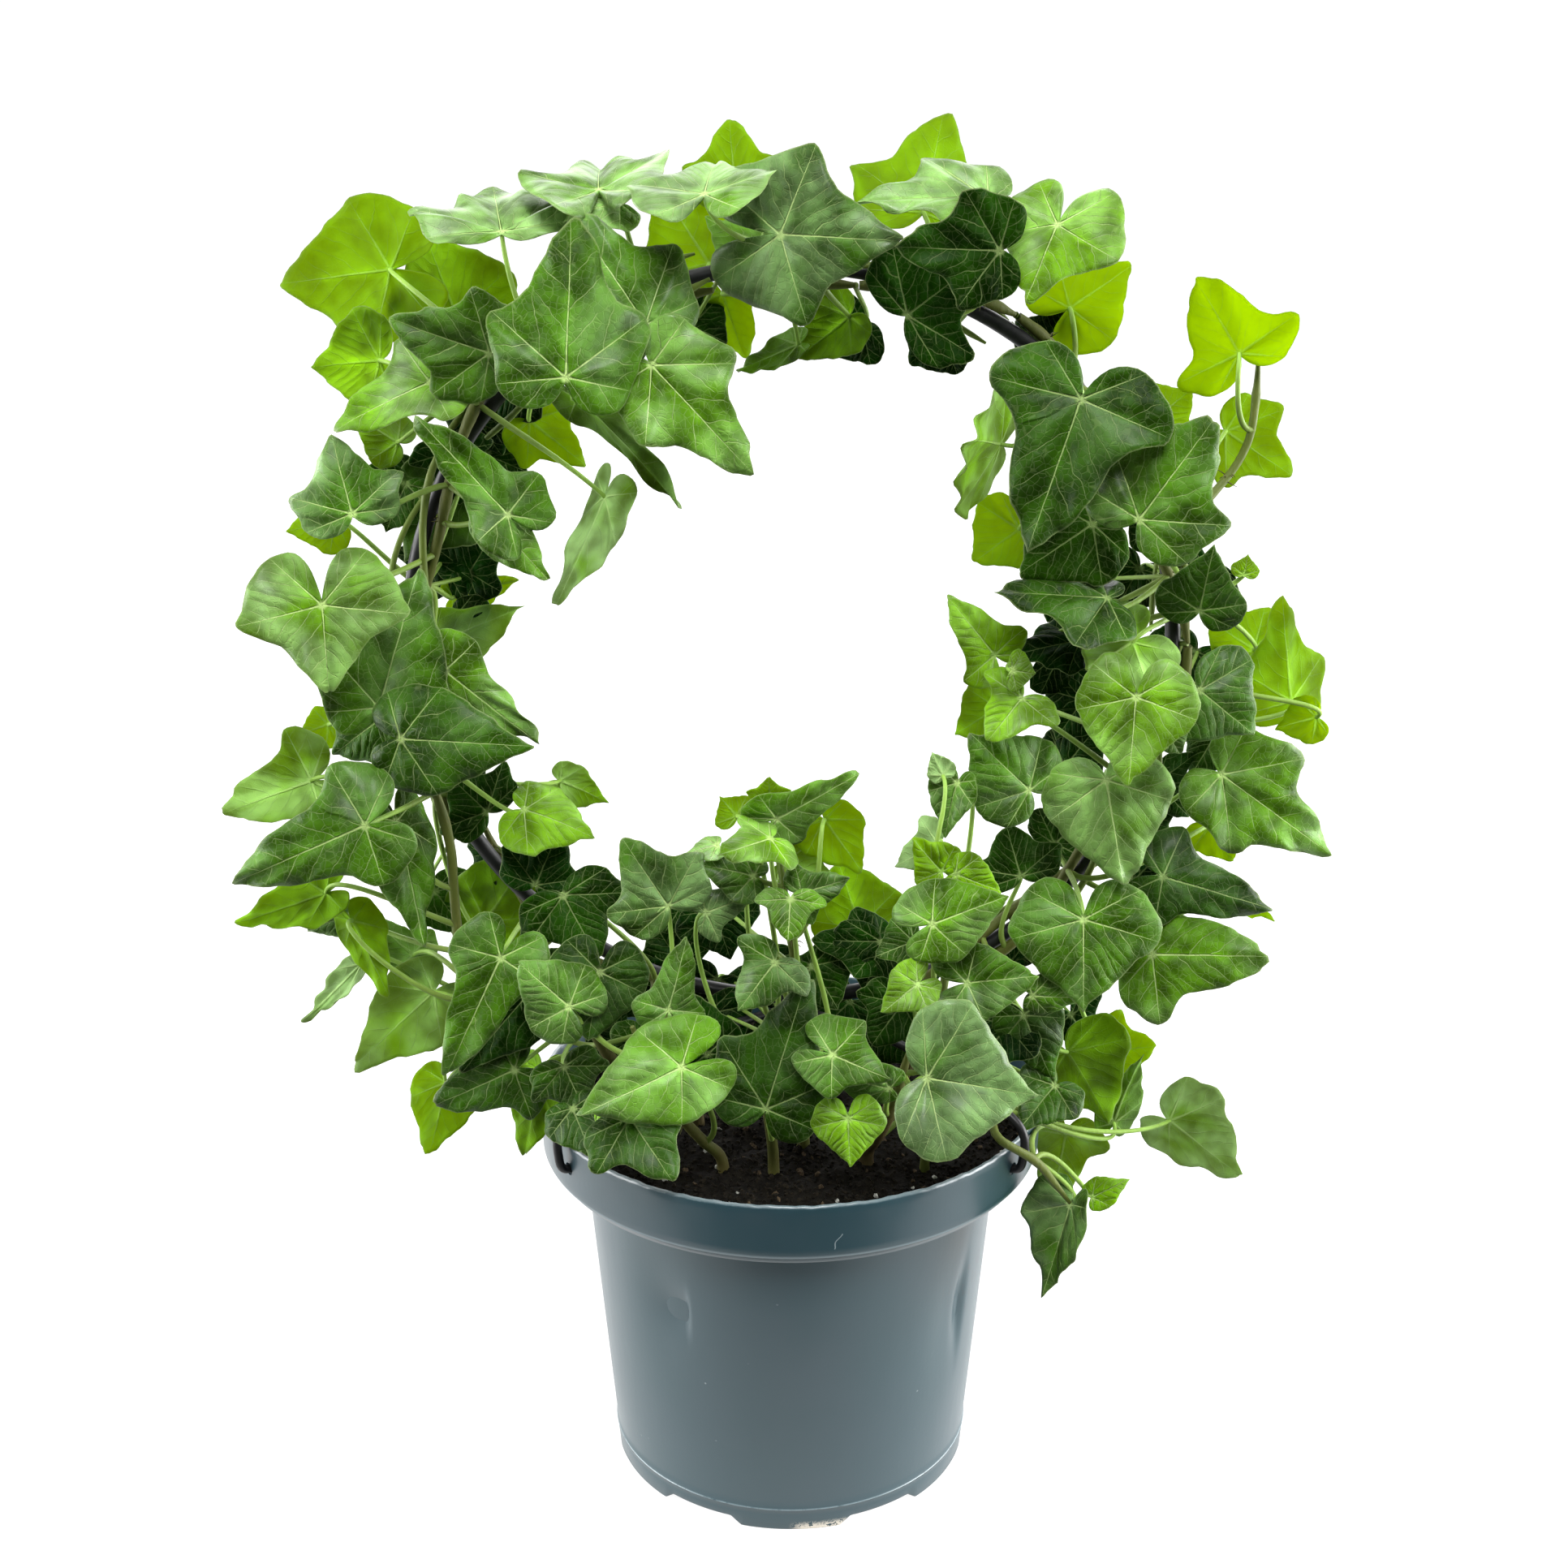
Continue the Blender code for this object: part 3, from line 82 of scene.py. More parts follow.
MM = 0.001
LOG = logging.getLogger("ivy")
Place = tuple[float, float, float]
Colour = tuple[float, float, float]
Piece = bpy.types.Object
Material = bpy.types.Material
PACKED, MARGIN, VEINS = range(3)  # Parts of a blade form


class Form(Enum):
    """Blade forms: packed outline, living margin and the ends of the main veins, all of the right half.

    Each place is (across, along), in thousandths of width and midrib, from the sinus to the tip.
    """

    FIVE = (
        ((0, -40), (150, -180), (380, -130), (460, 120), (500, 400), (260, 560), (120, 830), (0, 1000)),
        ((0, -30), (35, -105), (100, -185), (190, -215), (290, -205), (375, -150), (425, -60), (445, 30),
         (455, 110), (485, 210), (512, 295), (510, 365), (465, 415), (385, 440), (305, 480), (250, 550),
         (215, 640), (170, 750), (115, 860), (55, 950), (0, 1000)),
        ((500, 400), (400, -60)))
    THREE = (
        ((0, -40), (150, -250), (360, -220), (500, 60), (300, 300), (200, 640), (0, 1000)),
        ((0, -30), (30, -130), (85, -225), (170, -285), (270, -285), (360, -235), (430, -140), (485, -50),
         (505, 40), (475, 115), (400, 165), (325, 225), (280, 310), (260, 420), (240, 540), (200, 670),
         (145, 790), (85, 900), (40, 965), (0, 1000)),
        ((500, 60), (240, -240)))
    WIDE = (
        ((0, -60), (140, -560), (340, -500), (500, 220), (270, 420), (140, 740), (0, 1000)),
        ((0, -50), (25, -250), (65, -460), (135, -600), (225, -630), (320, -550), (400, -380),
         (450, -170), (490, 30), (515, 170), (500, 250), (430, 320), (345, 375), (275, 450), (225, 560),
         (175, 680), (120, 800), (65, 910), (25, 975), (0, 1000)),
        ((500, 220), (260, -520)))
    HEART = (
        ((0, -40), (170, -220), (400, -130), (500, 140), (370, 460), (0, 1000)),
        ((0, -30), (30, -120), (90, -205), (180, -250), (285, -235), (390, -165), (465, -40), (505, 90),
         (505, 210), (470, 320), (410, 420), (335, 530), (255, 650), (175, 770), (100, 880), (40, 960),
         (0, 1000)),
        ((450, 270), (360, -120)))
    CORDATE = (
        ((0, -50), (160, -430), (380, -330), (500, 50), (360, 460), (0, 1000)),
        ((0, -40), (30, -200), (75, -350), (155, -455), (255, -465), (360, -380), (440, -240), (490, -80),
         (515, 70), (500, 200), (445, 330), (375, 450), (300, 570), (220, 700), (140, 820), (70, 920),
         (30, 970), (0, 1000)),
        ((460, 200), (340, -300)))
    YOUNG = (
        ((0, -30), (320, -160), (500, 300), (0, 1000)),
        ((0, -20), (50, -90), (140, -155), (260, -175), (370, -120), (450, 0), (495, 140), (500, 270),
         (460, 390), (380, 520), (280, 650), (180, 780), (90, 890), (35, 960), (0, 1000)),
        ((460, 320), (340, -100)))

    def shares(self, part: int) -> list[tuple[float, float]]:
        """Places of one part of the form, as shares of width and midrib."""
        return [(across / 1000, along / 1000) for across, along in self.value[part]]


class Tone(Enum):
    """Look of a blade: how dark (its own tone, and painted shade where it sits in shadow), how fresh, how
    much painted bluish sheen, and how much light comes through.
    """

    # INK, DEEP and NIGHT are painted shade: near-black tones for blades deep in the thicket's shadow. SHADED
    # and DUSK are undersides with painted shade.
    INK = (1.00, 0.00, 0.00, 0.02)
    DEEP = (0.87, 0.00, 0.02, 0.03)
    DARK = (0.76, 0.02, 0.10, 0.05)
    GREEN = (0.42, 0.05, 0.24, 0.09)
    # SHEEN, SILVER, LIGHT and GREY carry the most painted sheen.
    SHEEN = (0.50, 0.02, 0.66, 0.08)
    MID = (0.12, 0.16, 0.42, 0.12)
    LIGHT = (0.00, 0.20, 0.76, 0.16)
    SOFT = (0.00, 0.42, 0.50, 0.20)
    SILVER = (0.00, 0.20, 0.98, 0.16)
    FRESH = (0.04, 0.72, 0.28, 0.28)
    LIME = (0.00, 1.00, 0.00, 0.45)
    GLOWING = (0.00, 1.00, 0.00, 0.92)
    BACKLIT = (0.35, 0.70, 0.00, 0.66)
    DIM = (0.55, 0.80, 0.00, 0.42)
    SHADED = (0.80, 0.60, 0.00, 0.22)
    NIGHT = (1.00, 0.10, 0.00, 0.02)
    DUSK = (0.45, 0.20, 0.30, 0.16)
    PALE = (0.05, 0.50, 0.55, 0.38)
    GREY = (0.00, 0.25, 1.00, 0.30)


@dataclass(frozen=True)
class Leaf:
    """One blade, set out on the front view sheet.

    A place is (across, down, depth): two sheet units and millimetres behind the hoop's plane.
    """

    form: Form
    joint: Place
    tip: Place
    width: float
    tone: Tone
    roll: float = 0.0
    face: int = 1
    fold: float = 0.16


Route = list[tuple[Vector, float]]


@dataclass
class Vine:
    """One leafy stem: the node that it stands for, its routes and its leaves.

    Strands and inner leaves fill the thicket behind them and aren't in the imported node.
    """

    node: str
    routes: list[Route]
    strands: list[Route] = field(default_factory=list)
    leaves: list[Leaf] = field(default_factory=list)
    inner: list[Leaf] = field(default_factory=list)


class Sheet:
    """Front view sheet on which the blades are set out, seen through the photograph's camera."""

    eye = Vector((-0.002, -0.652, 0.462))
    pitch = math.radians(20.5)
    focus = 2965.0
    middle = 966.0
    width = 1932.0

    @classmethod
    def spot(cls, across: float, down: float, depth_mm: float) -> Vector:
        """Point at a depth behind the hoop's plane that the eye sees at a place on the sheet.

        Args:
            across: Sheet units from the left.
            down: Sheet units from the top.
            depth_mm: Millimetres behind the plane.

        Returns:
            The point.
        """
        forward = Vector((0.0, math.cos(cls.pitch), -math.sin(cls.pitch)))
        upward = Vector((0.0, math.sin(cls.pitch), math.cos(cls.pitch)))
        sight = forward * cls.focus + upward * (cls.middle - down)
        sight += Vector((1.0, 0.0, 0.0)) * (across - cls.middle)
        return cls.eye + sight * ((depth_mm * MM - cls.eye.y) / sight.y)


def joined(operation: str, turned: bool = False) -> Callable[..., "Wire"]:
    """Operator that adds a Math node.

    Args:
        operation: The Math node's operation.
        turned: Whether the wire is the second term, as in 1 - wire.

    Returns:
        A method for Wire.
    """
    def join(wire: "Wire", other: "Wire | float") -> "Wire":
        """Join a wire and another value."""
        return wire.kit.maths(operation, *((other, wire) if turned else (wire, other)))
    return join


class Wire:
    """A value in a node tree, which Python's operators join with Math nodes."""

    def __init__(self, kit: "TreeKit", socket: bpy.types.NodeSocket) -> None:
        self.kit = kit
        self.socket = socket

    __add__ = __radd__ = joined("ADD")
    __sub__ = joined("SUBTRACT")
    __rsub__ = joined("SUBTRACT", True)
    __mul__ = __rmul__ = joined("MULTIPLY")
    __truediv__ = joined("DIVIDE")
    __mod__ = joined("FLOORED_MODULO")
    __gt__ = joined("GREATER_THAN")
    most = joined("MAXIMUM")

    def __abs__(self) -> "Wire":
        """Size without sign."""
        return self.kit.maths("ABSOLUTE", self)


class TreeKit:
    """Adds nodes to a node tree, whose named inputs stand on its entry node if it has one."""

    entry: bpy.types.Node | None = None

    def __init__(self, tree: bpy.types.NodeTree) -> None:
        """Keep the tree."""
        self.tree = tree

    def node(self, kind: str, settings: dict | None = None, values: dict | None = None) -> bpy.types.Node:
        """Add a node.

        Args:
            kind: Blender's name of the node type.
            settings: Properties, set before the sockets.
            values: Socket names or numbers, each with a value, a wire, an output, a node whose first
                output is meant, or the name of the tree's input after "in:".

        Returns:
            The node.
        """
        made = self.tree.nodes.new(kind)
        for key, value in (settings or {}).items():
            setattr(made, key, value)
        for key, value in (values or {}).items():
            if isinstance(value, str) and value.startswith("in:"):
                value = self.entry.outputs[value[3:]]
            elif isinstance(value, Wire):
                value = value.socket
            elif isinstance(value, bpy.types.Node):
                value = value.outputs[0]
            if isinstance(value, bpy.types.NodeSocket):
                self.tree.links.new(value, made.inputs[key])
            elif isinstance(value, tuple) and len(value) == 3 and made.inputs[key].type == "RGBA":
                made.inputs[key].default_value = (*value, 1.0)
            else:
                made.inputs[key].default_value = value
        return made

    def wire(self, kind: str, settings: dict | None = None, values: dict | None = None,
             output: int | str = 0) -> Wire:
        """Add a node and return the wire from one of its outputs."""
        return Wire(self, self.node(kind, settings, values).outputs[output])

    def maths(self, operation: str, *terms: Wire | float) -> Wire:
        """Math node on wires and numbers."""
        return self.wire("ShaderNodeMath", {"operation": operation}, dict(enumerate(terms)))


class Shading(TreeKit):
    """Builds the node tree of one material."""

    def __init__(self, name: str) -> None:
        """Start an empty material of that name."""
        self.material = bpy.data.materials.new(name)
        self.material.use_nodes = True
        super().__init__(self.material.node_tree)
        self.tree.nodes.clear()

    def between(self, value: Wire, low: float | Wire, high: float | Wire) -> Wire:
        """Smooth step from 0 at low to 1 at high. Low may be the greater."""
        return self.wire("ShaderNodeMapRange", {"interpolation_type": "SMOOTHSTEP"},
                         {"Value": value, "From Min": low, "From Max": high})

    def blend(self, share: Wire | float, first: Wire | Colour, second: Wire | Colour,
              mode: str = "MIX") -> Wire:
        """Mix of two colours."""
        return self.wire("ShaderNodeMix", {"data_type": "RGBA", "blend_type": mode},
                         {0: share, 6: first, 7: second}, 2)

    def shaded(self, skin: Wire, shade: Wire) -> Wire:
        """Colour made darker or brighter by a value."""
        grey = self.wire("ShaderNodeCombineColor", None, {0: shade, 1: shade, 2: shade})
        return self.blend(1.0, skin, grey, "MULTIPLY")

    def layered(self, skin: Wire | Colour, *layers: tuple[Wire | float, Wire | Colour]) -> Wire:
        """Colour under further ones, each with the share that it covers."""
        for share, colour in layers:
            skin = self.blend(share, skin, colour)
        return skin

    def axes(self, vector: Wire) -> list[Wire]:
        """The three values of a vector."""
        return [Wire(self, part) for part in self.node("ShaderNodeSeparateXYZ", None, {0: vector}).outputs]

    def map(self, name: str) -> list[Wire]:
        """The two values of one of the piece's own maps."""
        return self.axes(self.wire("ShaderNodeUVMap", {"uv_map": name}))[:2]

    def vector(self, x: Wire | float, y: Wire | float, z: Wire | float = 0.0) -> Wire:
        """Vector from three values."""
        return self.wire("ShaderNodeCombineXYZ", None, {0: x, 1: y, 2: z})

    def noise(self, vector: Wire, scale: float, detail: float = 2.0, roughness: float = 0.5) -> Wire:
        """Noise from 0 to 1 at a vector."""
        return self.wire("ShaderNodeTexNoise", None, {"Vector": vector, "Scale": scale,
                                                      "Detail": detail, "Roughness": roughness})

    def place(self) -> Wire:
        """Object coordinates, in metres."""
        return self.wire("ShaderNodeTexCoord", output="Object")

    def stretched(self, vector: Wire, scale: Place) -> Wire:
        """Vector with each axis scaled."""
        return self.wire("ShaderNodeVectorMath", {"operation": "MULTIPLY"}, {0: vector, 1: scale})

    def bump(self, height: Wire, distance: float, strength: float = 1.0) -> Wire:
        """Normal from a height between 0 and 1 that stands for a distance."""
        return self.wire("ShaderNodeBump", None, {"Height": height, "Distance": distance,
                                                  "Strength": strength})

    def surface(self, values: dict) -> Wire:
        """Principled shader."""
        return self.wire("ShaderNodeBsdfPrincipled", None, values)

    def finish(self, shader: Wire) -> Material:
        """Give the material its surface."""
        self.node("ShaderNodeOutputMaterial", None, {"Surface": shader})
        return self.material


@dataclass(frozen=True)
class LeafFinish:
    """Ivy leaf skin: main veins, chevrons of side veins, a faint net, painted shade from the tone's darkness,
    patches of painted bluish sheen and light that comes through.
    """

    name: str
    upper: bool
    specular: float = 0.10
    # Dark green that the tone's darkness mixes in: the leaf's own dark tone, and painted shade on blades in
    # shadow
    dark: Colour = (0.0020, 0.0190, 0.0003)
    green: Colour = (0.064, 0.185, 0.007)
    fresh: Colour = (0.200, 0.440, 0.004)
    # Painted sheen: bluish white mixed into the colour where the surface would reflect the sky
    bloom: Colour = (0.310, 0.480, 0.205)
    vein: Colour = (0.500, 0.660, 0.240)
    through: Colour = (0.375, 0.490, 0.0003)
    edge: Colour = (0.20, 0.26, 0.10)
    main_half_width: float = 0.50
    side_half_width: float = 0.20

    def build(self) -> Material:
        """Build the material.

        Returns:
            The material, which reads the blade maps of IvyBlade.
        """
        kit = Shading(self.name)
        x, y = kit.map("leaf_mm")
        off, along = kit.map("vein_mm")
        reach, vein_share = kit.map("reach")
        depth, freshness = kit.map("tone")
        painted_sheen_share, glow = kit.map("bloom")
        length, seed = kit.map("grain")
        flat = kit.vector(x, y, seed)
        wander = kit.noise(flat, 0.12, 2.0) - 0.5
        fine = kit.noise(flat, 0.9, 3.0, 0.6)

        half = (1.08 - vein_share) * self.main_half_width
        side = abs(off + wander * 0.5)
        main = kit.between(side, half, half * 0.45)
        halo = kit.between(side, half * 6.0, half) * (1.0 - vein_share * 0.7)
        pitch = length * 0.20
        start = along - side * 0.95 - side * side / length * 1.1 + wander * 6.0
        start = start + (off > 0.0) * pitch * 0.47
        gap = abs((start / pitch) % 1.0 - 0.5) * pitch * 0.74
        spread = kit.between(reach, 1.02, 0.80) * kit.between(start, 0.2, 1.4)
        lines = kit.between(gap, self.side_half_width, self.side_half_width * 0.25) * spread
        net_edge = kit.wire("ShaderNodeTexVoronoi", {"feature": "DISTANCE_TO_EDGE"},
                            {"Vector": kit.vector(x + wander * 3.0, y, seed), "Scale": 0.55}, "Distance")
        net = kit.between(net_edge, 0.07, 0.01)
        hub = kit.between(kit.maths("SQRT", x * x + y * y), 1.8, 0.6)
        main = main.most(hub)

        patches = kit.noise(kit.place(), 55.0, 2.0)
        # Painted sheen in patches, most on the silvery tones
        sheen_patches = kit.between(patches + painted_sheen_share * 0.22, 0.48, 0.70) * (0.42 if self.upper else 0.70)
        # The dark green mixed in by the tone's darkness is partly painted shade
        skin = kit.layered(self.green, (depth, self.dark), (freshness, self.fresh),
                           (painted_sheen_share * sheen_patches, self.bloom))
        cloudy = kit.noise(flat, 0.09, 2.0, 0.6)
        shade = patches * 0.62 + kit.between(cloudy, 0.30, 0.70) * 0.84 + fine * 0.14
        skin = kit.shaded(skin, shade * (0.90 + halo * 0.55))
        veined = kit.blend(0.22 + freshness * 0.3 + depth * 0.25, self.vein, skin)
        strength = (1.0 - depth * depth * 0.62) * (1.0 if self.upper else 0.45)
        edge = kit.between(reach, 0.975, 0.995)
        skin = kit.layered(skin, (main * 0.95 * strength, veined), (lines * 0.50 * strength, veined),
                           (net * 0.13 * strength, veined), (edge * 0.45, self.edge))

        sunk = -1.0 if self.upper else 1.0
        pucker = kit.between(gap, 0.0, pitch * 0.33) * kit.between(side, 0.2, 3.0) * spread
        relief = main * (0.7 * sunk) + lines * (0.35 * sunk) + net * (0.12 * sunk) - pucker * (0.45 * sunk)
        relief = relief + kit.noise(flat, 0.20, 2.0) * 1.1 + fine * 0.12
        normal = kit.bump(relief, 0.00085 if self.upper else 0.0005)
        gloss = 0.36 if self.upper else 0.55
        sheen = (self.specular * 0.8 + painted_sheen_share * 0.60) * kit.between(patches, 0.42, 0.66)
        sheen = sheen * (1.0 if self.upper else 0.3)
        rough = gloss + fine * 0.12 + painted_sheen_share * 0.08 + main * 0.08
        shader = kit.surface({"Base Color": skin, "Roughness": rough, "IOR": 1.42,
                              "Normal": normal, "Specular IOR Level": self.specular,
                              "Coat Weight": sheen, "Coat Roughness": 0.30 if self.upper else 0.5})
        leak = kit.wire("ShaderNodeBsdfTranslucent", None, {"Color": self.through})
        share = glow * (1.0 - main * 0.25 - lines * 0.15) * (0.86 + fine * 0.28)
        mixed = kit.wire("ShaderNodeMixShader", None, {0: share, 1: shader, 2: leak})
        return kit.finish(mixed)


@dataclass(frozen=True)
class StemFinish:
    """Stem skin that goes from pale green stalk to tan bark with its age attribute."""

    name: str
    stalk: Colour = (0.200, 0.340, 0.055)
    olive: Colour = (0.065, 0.085, 0.012)
    bark: Colour = (0.052, 0.038, 0.012)
    streak: Colour = (0.15, 0.13, 0.04)

    def build(self) -> Material:
        """Build the material, which reads the attribute "age"."""
        kit = Shading(self.name)
        age = kit.wire("ShaderNodeAttribute", {"attribute_name": "age"}, None, "Fac")
        place = kit.place()
        streak = kit.noise(kit.stretched(place, (1.0, 1.0, 0.25)), 900.0, 3.0, 0.6)
        patch = kit.noise(place, 120.0, 2.0)
        skin = kit.layered(self.stalk, (kit.between(age, 0.0, 0.5), self.olive),
                           (kit.between(age + patch * 0.3 - 0.15, 0.5, 1.0), self.bark),
                           (kit.between(streak, 0.52, 0.80) * 0.35, self.streak))
        skin = kit.shaded(skin, 0.70 + patch * 0.6)
        normal = kit.bump(streak, 0.0003, 0.7)
        return kit.finish(kit.surface({"Base Color": skin, "Roughness": 0.42 + age * 0.2 + streak * 0.1,
                                       "Normal": normal, "Specular IOR Level": 0.2}))


@dataclass(frozen=True)
class PlasticFinish:
    """Slate blue nursery pot plastic, satin, with scuffs, dust and lime at its foot."""

    name: str = "slate_plastic_worn"
    slate: Colour = (0.009, 0.034, 0.043)
    band: Colour = (0.008, 0.031, 0.040)
    lip: Colour = (0.075, 0.110, 0.120)
    lime: Colour = (0.55, 0.50, 0.42)
    scuff: Colour = (0.018, 0.024, 0.030)
    clouded: Colour = (0.026, 0.044, 0.058)
    faded: Colour = (0.030, 0.056, 0.066)
    edge: Colour = (0.20, 0.26, 0.28)
    dust: Colour = (0.42, 0.45, 0.46)
    scratched: Colour = (0.24, 0.29, 0.30)

    def build(self, rim_top: float, band_low: float, bead: float) -> Material:
        """Build the material.

        Args:
            rim_top: Height of the lip.
            band_low: Height of the band's lower edge.
            bead: Height of the line above the foot.

        Returns:
            The material.
        """
        kit = Shading(self.name)
        place = kit.place()
        x, y, z = kit.axes(place)
        cloud = kit.noise(place, 26.0, 3.0, 0.55)
        grain = kit.noise(place, 700.0, 2.0)
        drag = kit.noise(kit.stretched(place, (1.0, 1.0, 0.22)), 150.0, 4.0, 0.6)
        on_band = kit.between(z, band_low - 0.0006, band_low + 0.0006)
        foot = kit.between(z, 0.045, 0.004)
        jag = kit.noise(kit.stretched(place, (1.0, 1.0, 0.0)), 330.0, 3.0, 0.7)
        lip = kit.between(z + jag * 0.0009, rim_top - 0.0004, rim_top + 0.0002)
        fold = kit.between(abs(z - band_low - 0.0004), 0.0007, 0.0001)
        line = kit.between(abs(z - bead), 0.00045, 0.0001) * kit.between(jag, 0.25, 0.5)
        speck = kit.wire("ShaderNodeTexVoronoi", None, {"Vector": place, "Scale": 240.0}, "Distance")
        rare = kit.between(kit.noise(place, 90.0, 1.0), 0.64, 0.72)
        specks = kit.between(speck, 0.12, 0.05) * rare
        nicks = kit.between(drag, 0.70, 0.73) * kit.between(cloud, 0.45, 0.55)
        right = kit.between(x * 0.857 - y * 0.515, 0.0585, 0.0600)
        spot = right * kit.between(abs(z - 0.064), 0.016, 0.006)
        dash = kit.noise(kit.stretched(place, (1.0, 1.0, 0.45)), 520.0, 3.0)
        thread = abs(x - 0.0135 - (z - 0.1130) * 0.45 - kit.maths("SINE", z * 1400.0) * 0.0004)
        scratch = kit.between(thread, 0.00022, 0.00008) * kit.between(abs(z - 0.1112), 0.0026, 0.0022)
        crumb = kit.noise(place, 620.0, 3.0, 0.7)
        front = kit.between(y, -0.048, -0.0535) * kit.between(abs(x - 0.010), 0.011, 0.006)
        crust = front * kit.between(z + crumb * 0.004, 0.0052, 0.0030)
        skin = kit.layered(
            self.slate, (on_band, self.band), (kit.between(cloud, 0.35, 0.75) * 0.30, self.clouded),
            (foot * 0.35, self.faded), (lip * 0.85, self.lip), (fold * 0.35 + line * 0.55, self.edge),
            (specks * 0.7, self.dust), (nicks * 0.75, self.scuff),
            (spot * kit.between(dash, 0.56, 0.62) * 0.85, self.scuff),
            (scratch * (y * -1.0 > 0.06) * 0.6, self.scratched),
            (crust * kit.between(crumb, 0.40, 0.48), self.lime))
        relief = grain * 0.05 + drag * 0.12 + crust * crumb * 1.5 - nicks * 0.4
        normal = kit.bump(relief, 0.0003)
        rough = 0.30 + cloud * 0.10 + drag * 0.10 + crust * 0.4 + specks * 0.2
        return kit.finish(kit.surface({"Base Color": skin, "Roughness": rough, "Normal": normal,
                                       "IOR": 1.5, "Coat Weight": 0.40, "Coat Roughness": 0.24}))


@dataclass(frozen=True)
class SpeckledFinish:
    """Matt stuff with light and dark grains: potting mix, crumbs, perlite or bark bits."""

    name: str
    body: Colour
    light: Colour
    share: float = 0.3
    scale: float = 500.0
    roughness: float = 0.85

    def build(self) -> Material:
        """Build the material."""
        kit = Shading(self.name)
        place = kit.place()
        coarse = kit.noise(place, self.scale * 0.35, 3.0, 0.6)
        fine = kit.noise(place, self.scale, 3.0, 0.65)
        skin = kit.blend(kit.between(fine, 0.42, 0.70) * self.share, self.body, self.light)
        skin = kit.shaded(skin, 0.55 + coarse * 0.9)
        normal = kit.bump(fine + coarse, 0.0006)
        return kit.finish(kit.surface({"Base Color": skin, "Roughness": self.roughness + fine * 0.1,
                                       "Normal": normal, "Specular IOR Level": 0.06}))


@dataclass(frozen=True)
class RodFinish:
    """Black coated wire of the hoop and its clips."""

    name: str = "black_rod_coated"
    black: Colour = (0.006, 0.006, 0.007)
    worn: Colour = (0.025, 0.026, 0.027)

    def build(self) -> Material:
        """Build the material."""
        kit = Shading(self.name)
        place = kit.place()
        cloud = kit.noise(place, 180.0, 3.0, 0.6)
        skin = kit.blend(kit.between(cloud, 0.5, 0.8) * 0.5, self.black, self.worn)
        return kit.finish(kit.surface({"Base Color": skin, "Roughness": 0.30 + cloud * 0.25,
                                       "Normal": kit.bump(cloud, 0.0001), "Specular IOR Level": 0.3}))


def smooth_path(points: list[Vector], spacing: float) -> list[Vector]:
    """Evenly stepped Catmull-Rom curve through points.

    Args:
        points: Points that the curve goes through.
        spacing: Length of a step.

    Returns:
        Points of the curve.
    """
    padded = [points[0] * 2 - points[1], *points, points[-1] * 2 - points[-2]]
    path = []
    for a, b, c, d in zip(padded, padded[1:], padded[2:], padded[3:]):
        steps = max(1, round((c - b).length / spacing))
        for step in range(steps):
            t = step / steps
            path.append(0.5 * (b * 2 + (c - a) * t + (a * 2 - b * 5 + c * 4 - d) * t * t
                               + (b * 3 - a - c * 3 + d) * t ** 3))
    path.append(points[-1].copy())
    return path


def added(name: str, data: bpy.types.ID) -> Piece:
    """Object of a mesh, a light or a camera, linked to the scene."""
    made = bpy.data.objects.new(name, data)
    bpy.context.scene.collection.objects.link(made)
    return made


def plain_mesh(name: str, points: np.ndarray | list, faces: list, smooth: bool = True) -> Piece:
    """Mesh object from points and faces, linked to the scene.

    Args:
        name: Name of the mesh and the object.
        points: Places of its corners.
        faces: Corners of each face.
        smooth: Whether it is shaded smooth.

    Returns:
        The object.
    """
    mesh = bpy.data.meshes.new(name)
    mesh.from_pydata([tuple(point) for point in points], [], faces)
    mesh.polygons.foreach_set("use_smooth", [smooth] * len(mesh.polygons))
    mesh.update()
    return added(name, mesh)


def settle(piece: Piece) -> None:
    """Turn a piece's modifiers into plain mesh."""
    graph = bpy.context.evaluated_depsgraph_get()
    result = bpy.data.meshes.new_from_object(piece.evaluated_get(graph))
    piece.modifiers.clear()
    piece.data = result


def ring_faces(rows: int, around: int) -> list[tuple[int, int, int, int]]:
    """Quads that join rows of points, each row closed on itself, with their fronts outwards.

    Args:
        rows: Number of rows.
        around: Points in a row.

    Returns:
        The quads.
    """
    faces = []
    for row in range(rows - 1):
        for step in range(around):
            after = (step + 1) % around
            faces.append((row * around + step, row * around + after,
                          (row + 1) * around + after, (row + 1) * around + step))
    return faces


def fan_faces(first: int, around: int, tip: int, back: bool = False) -> list[tuple[int, int, int]]:
    """Triangles that close a row of points to a tip, turned round where it is a back."""
    pairs = [(first + step, first + (step + 1) % around) for step in range(around)]
    return [(*(pair[::-1] if back else pair), tip) for pair in pairs]


def spoke(turn: float, radius: float, height: float) -> Vector:
    """Point at an angle round the pot's axis."""
    return Vector((radius * math.cos(turn), radius * math.sin(turn), height))


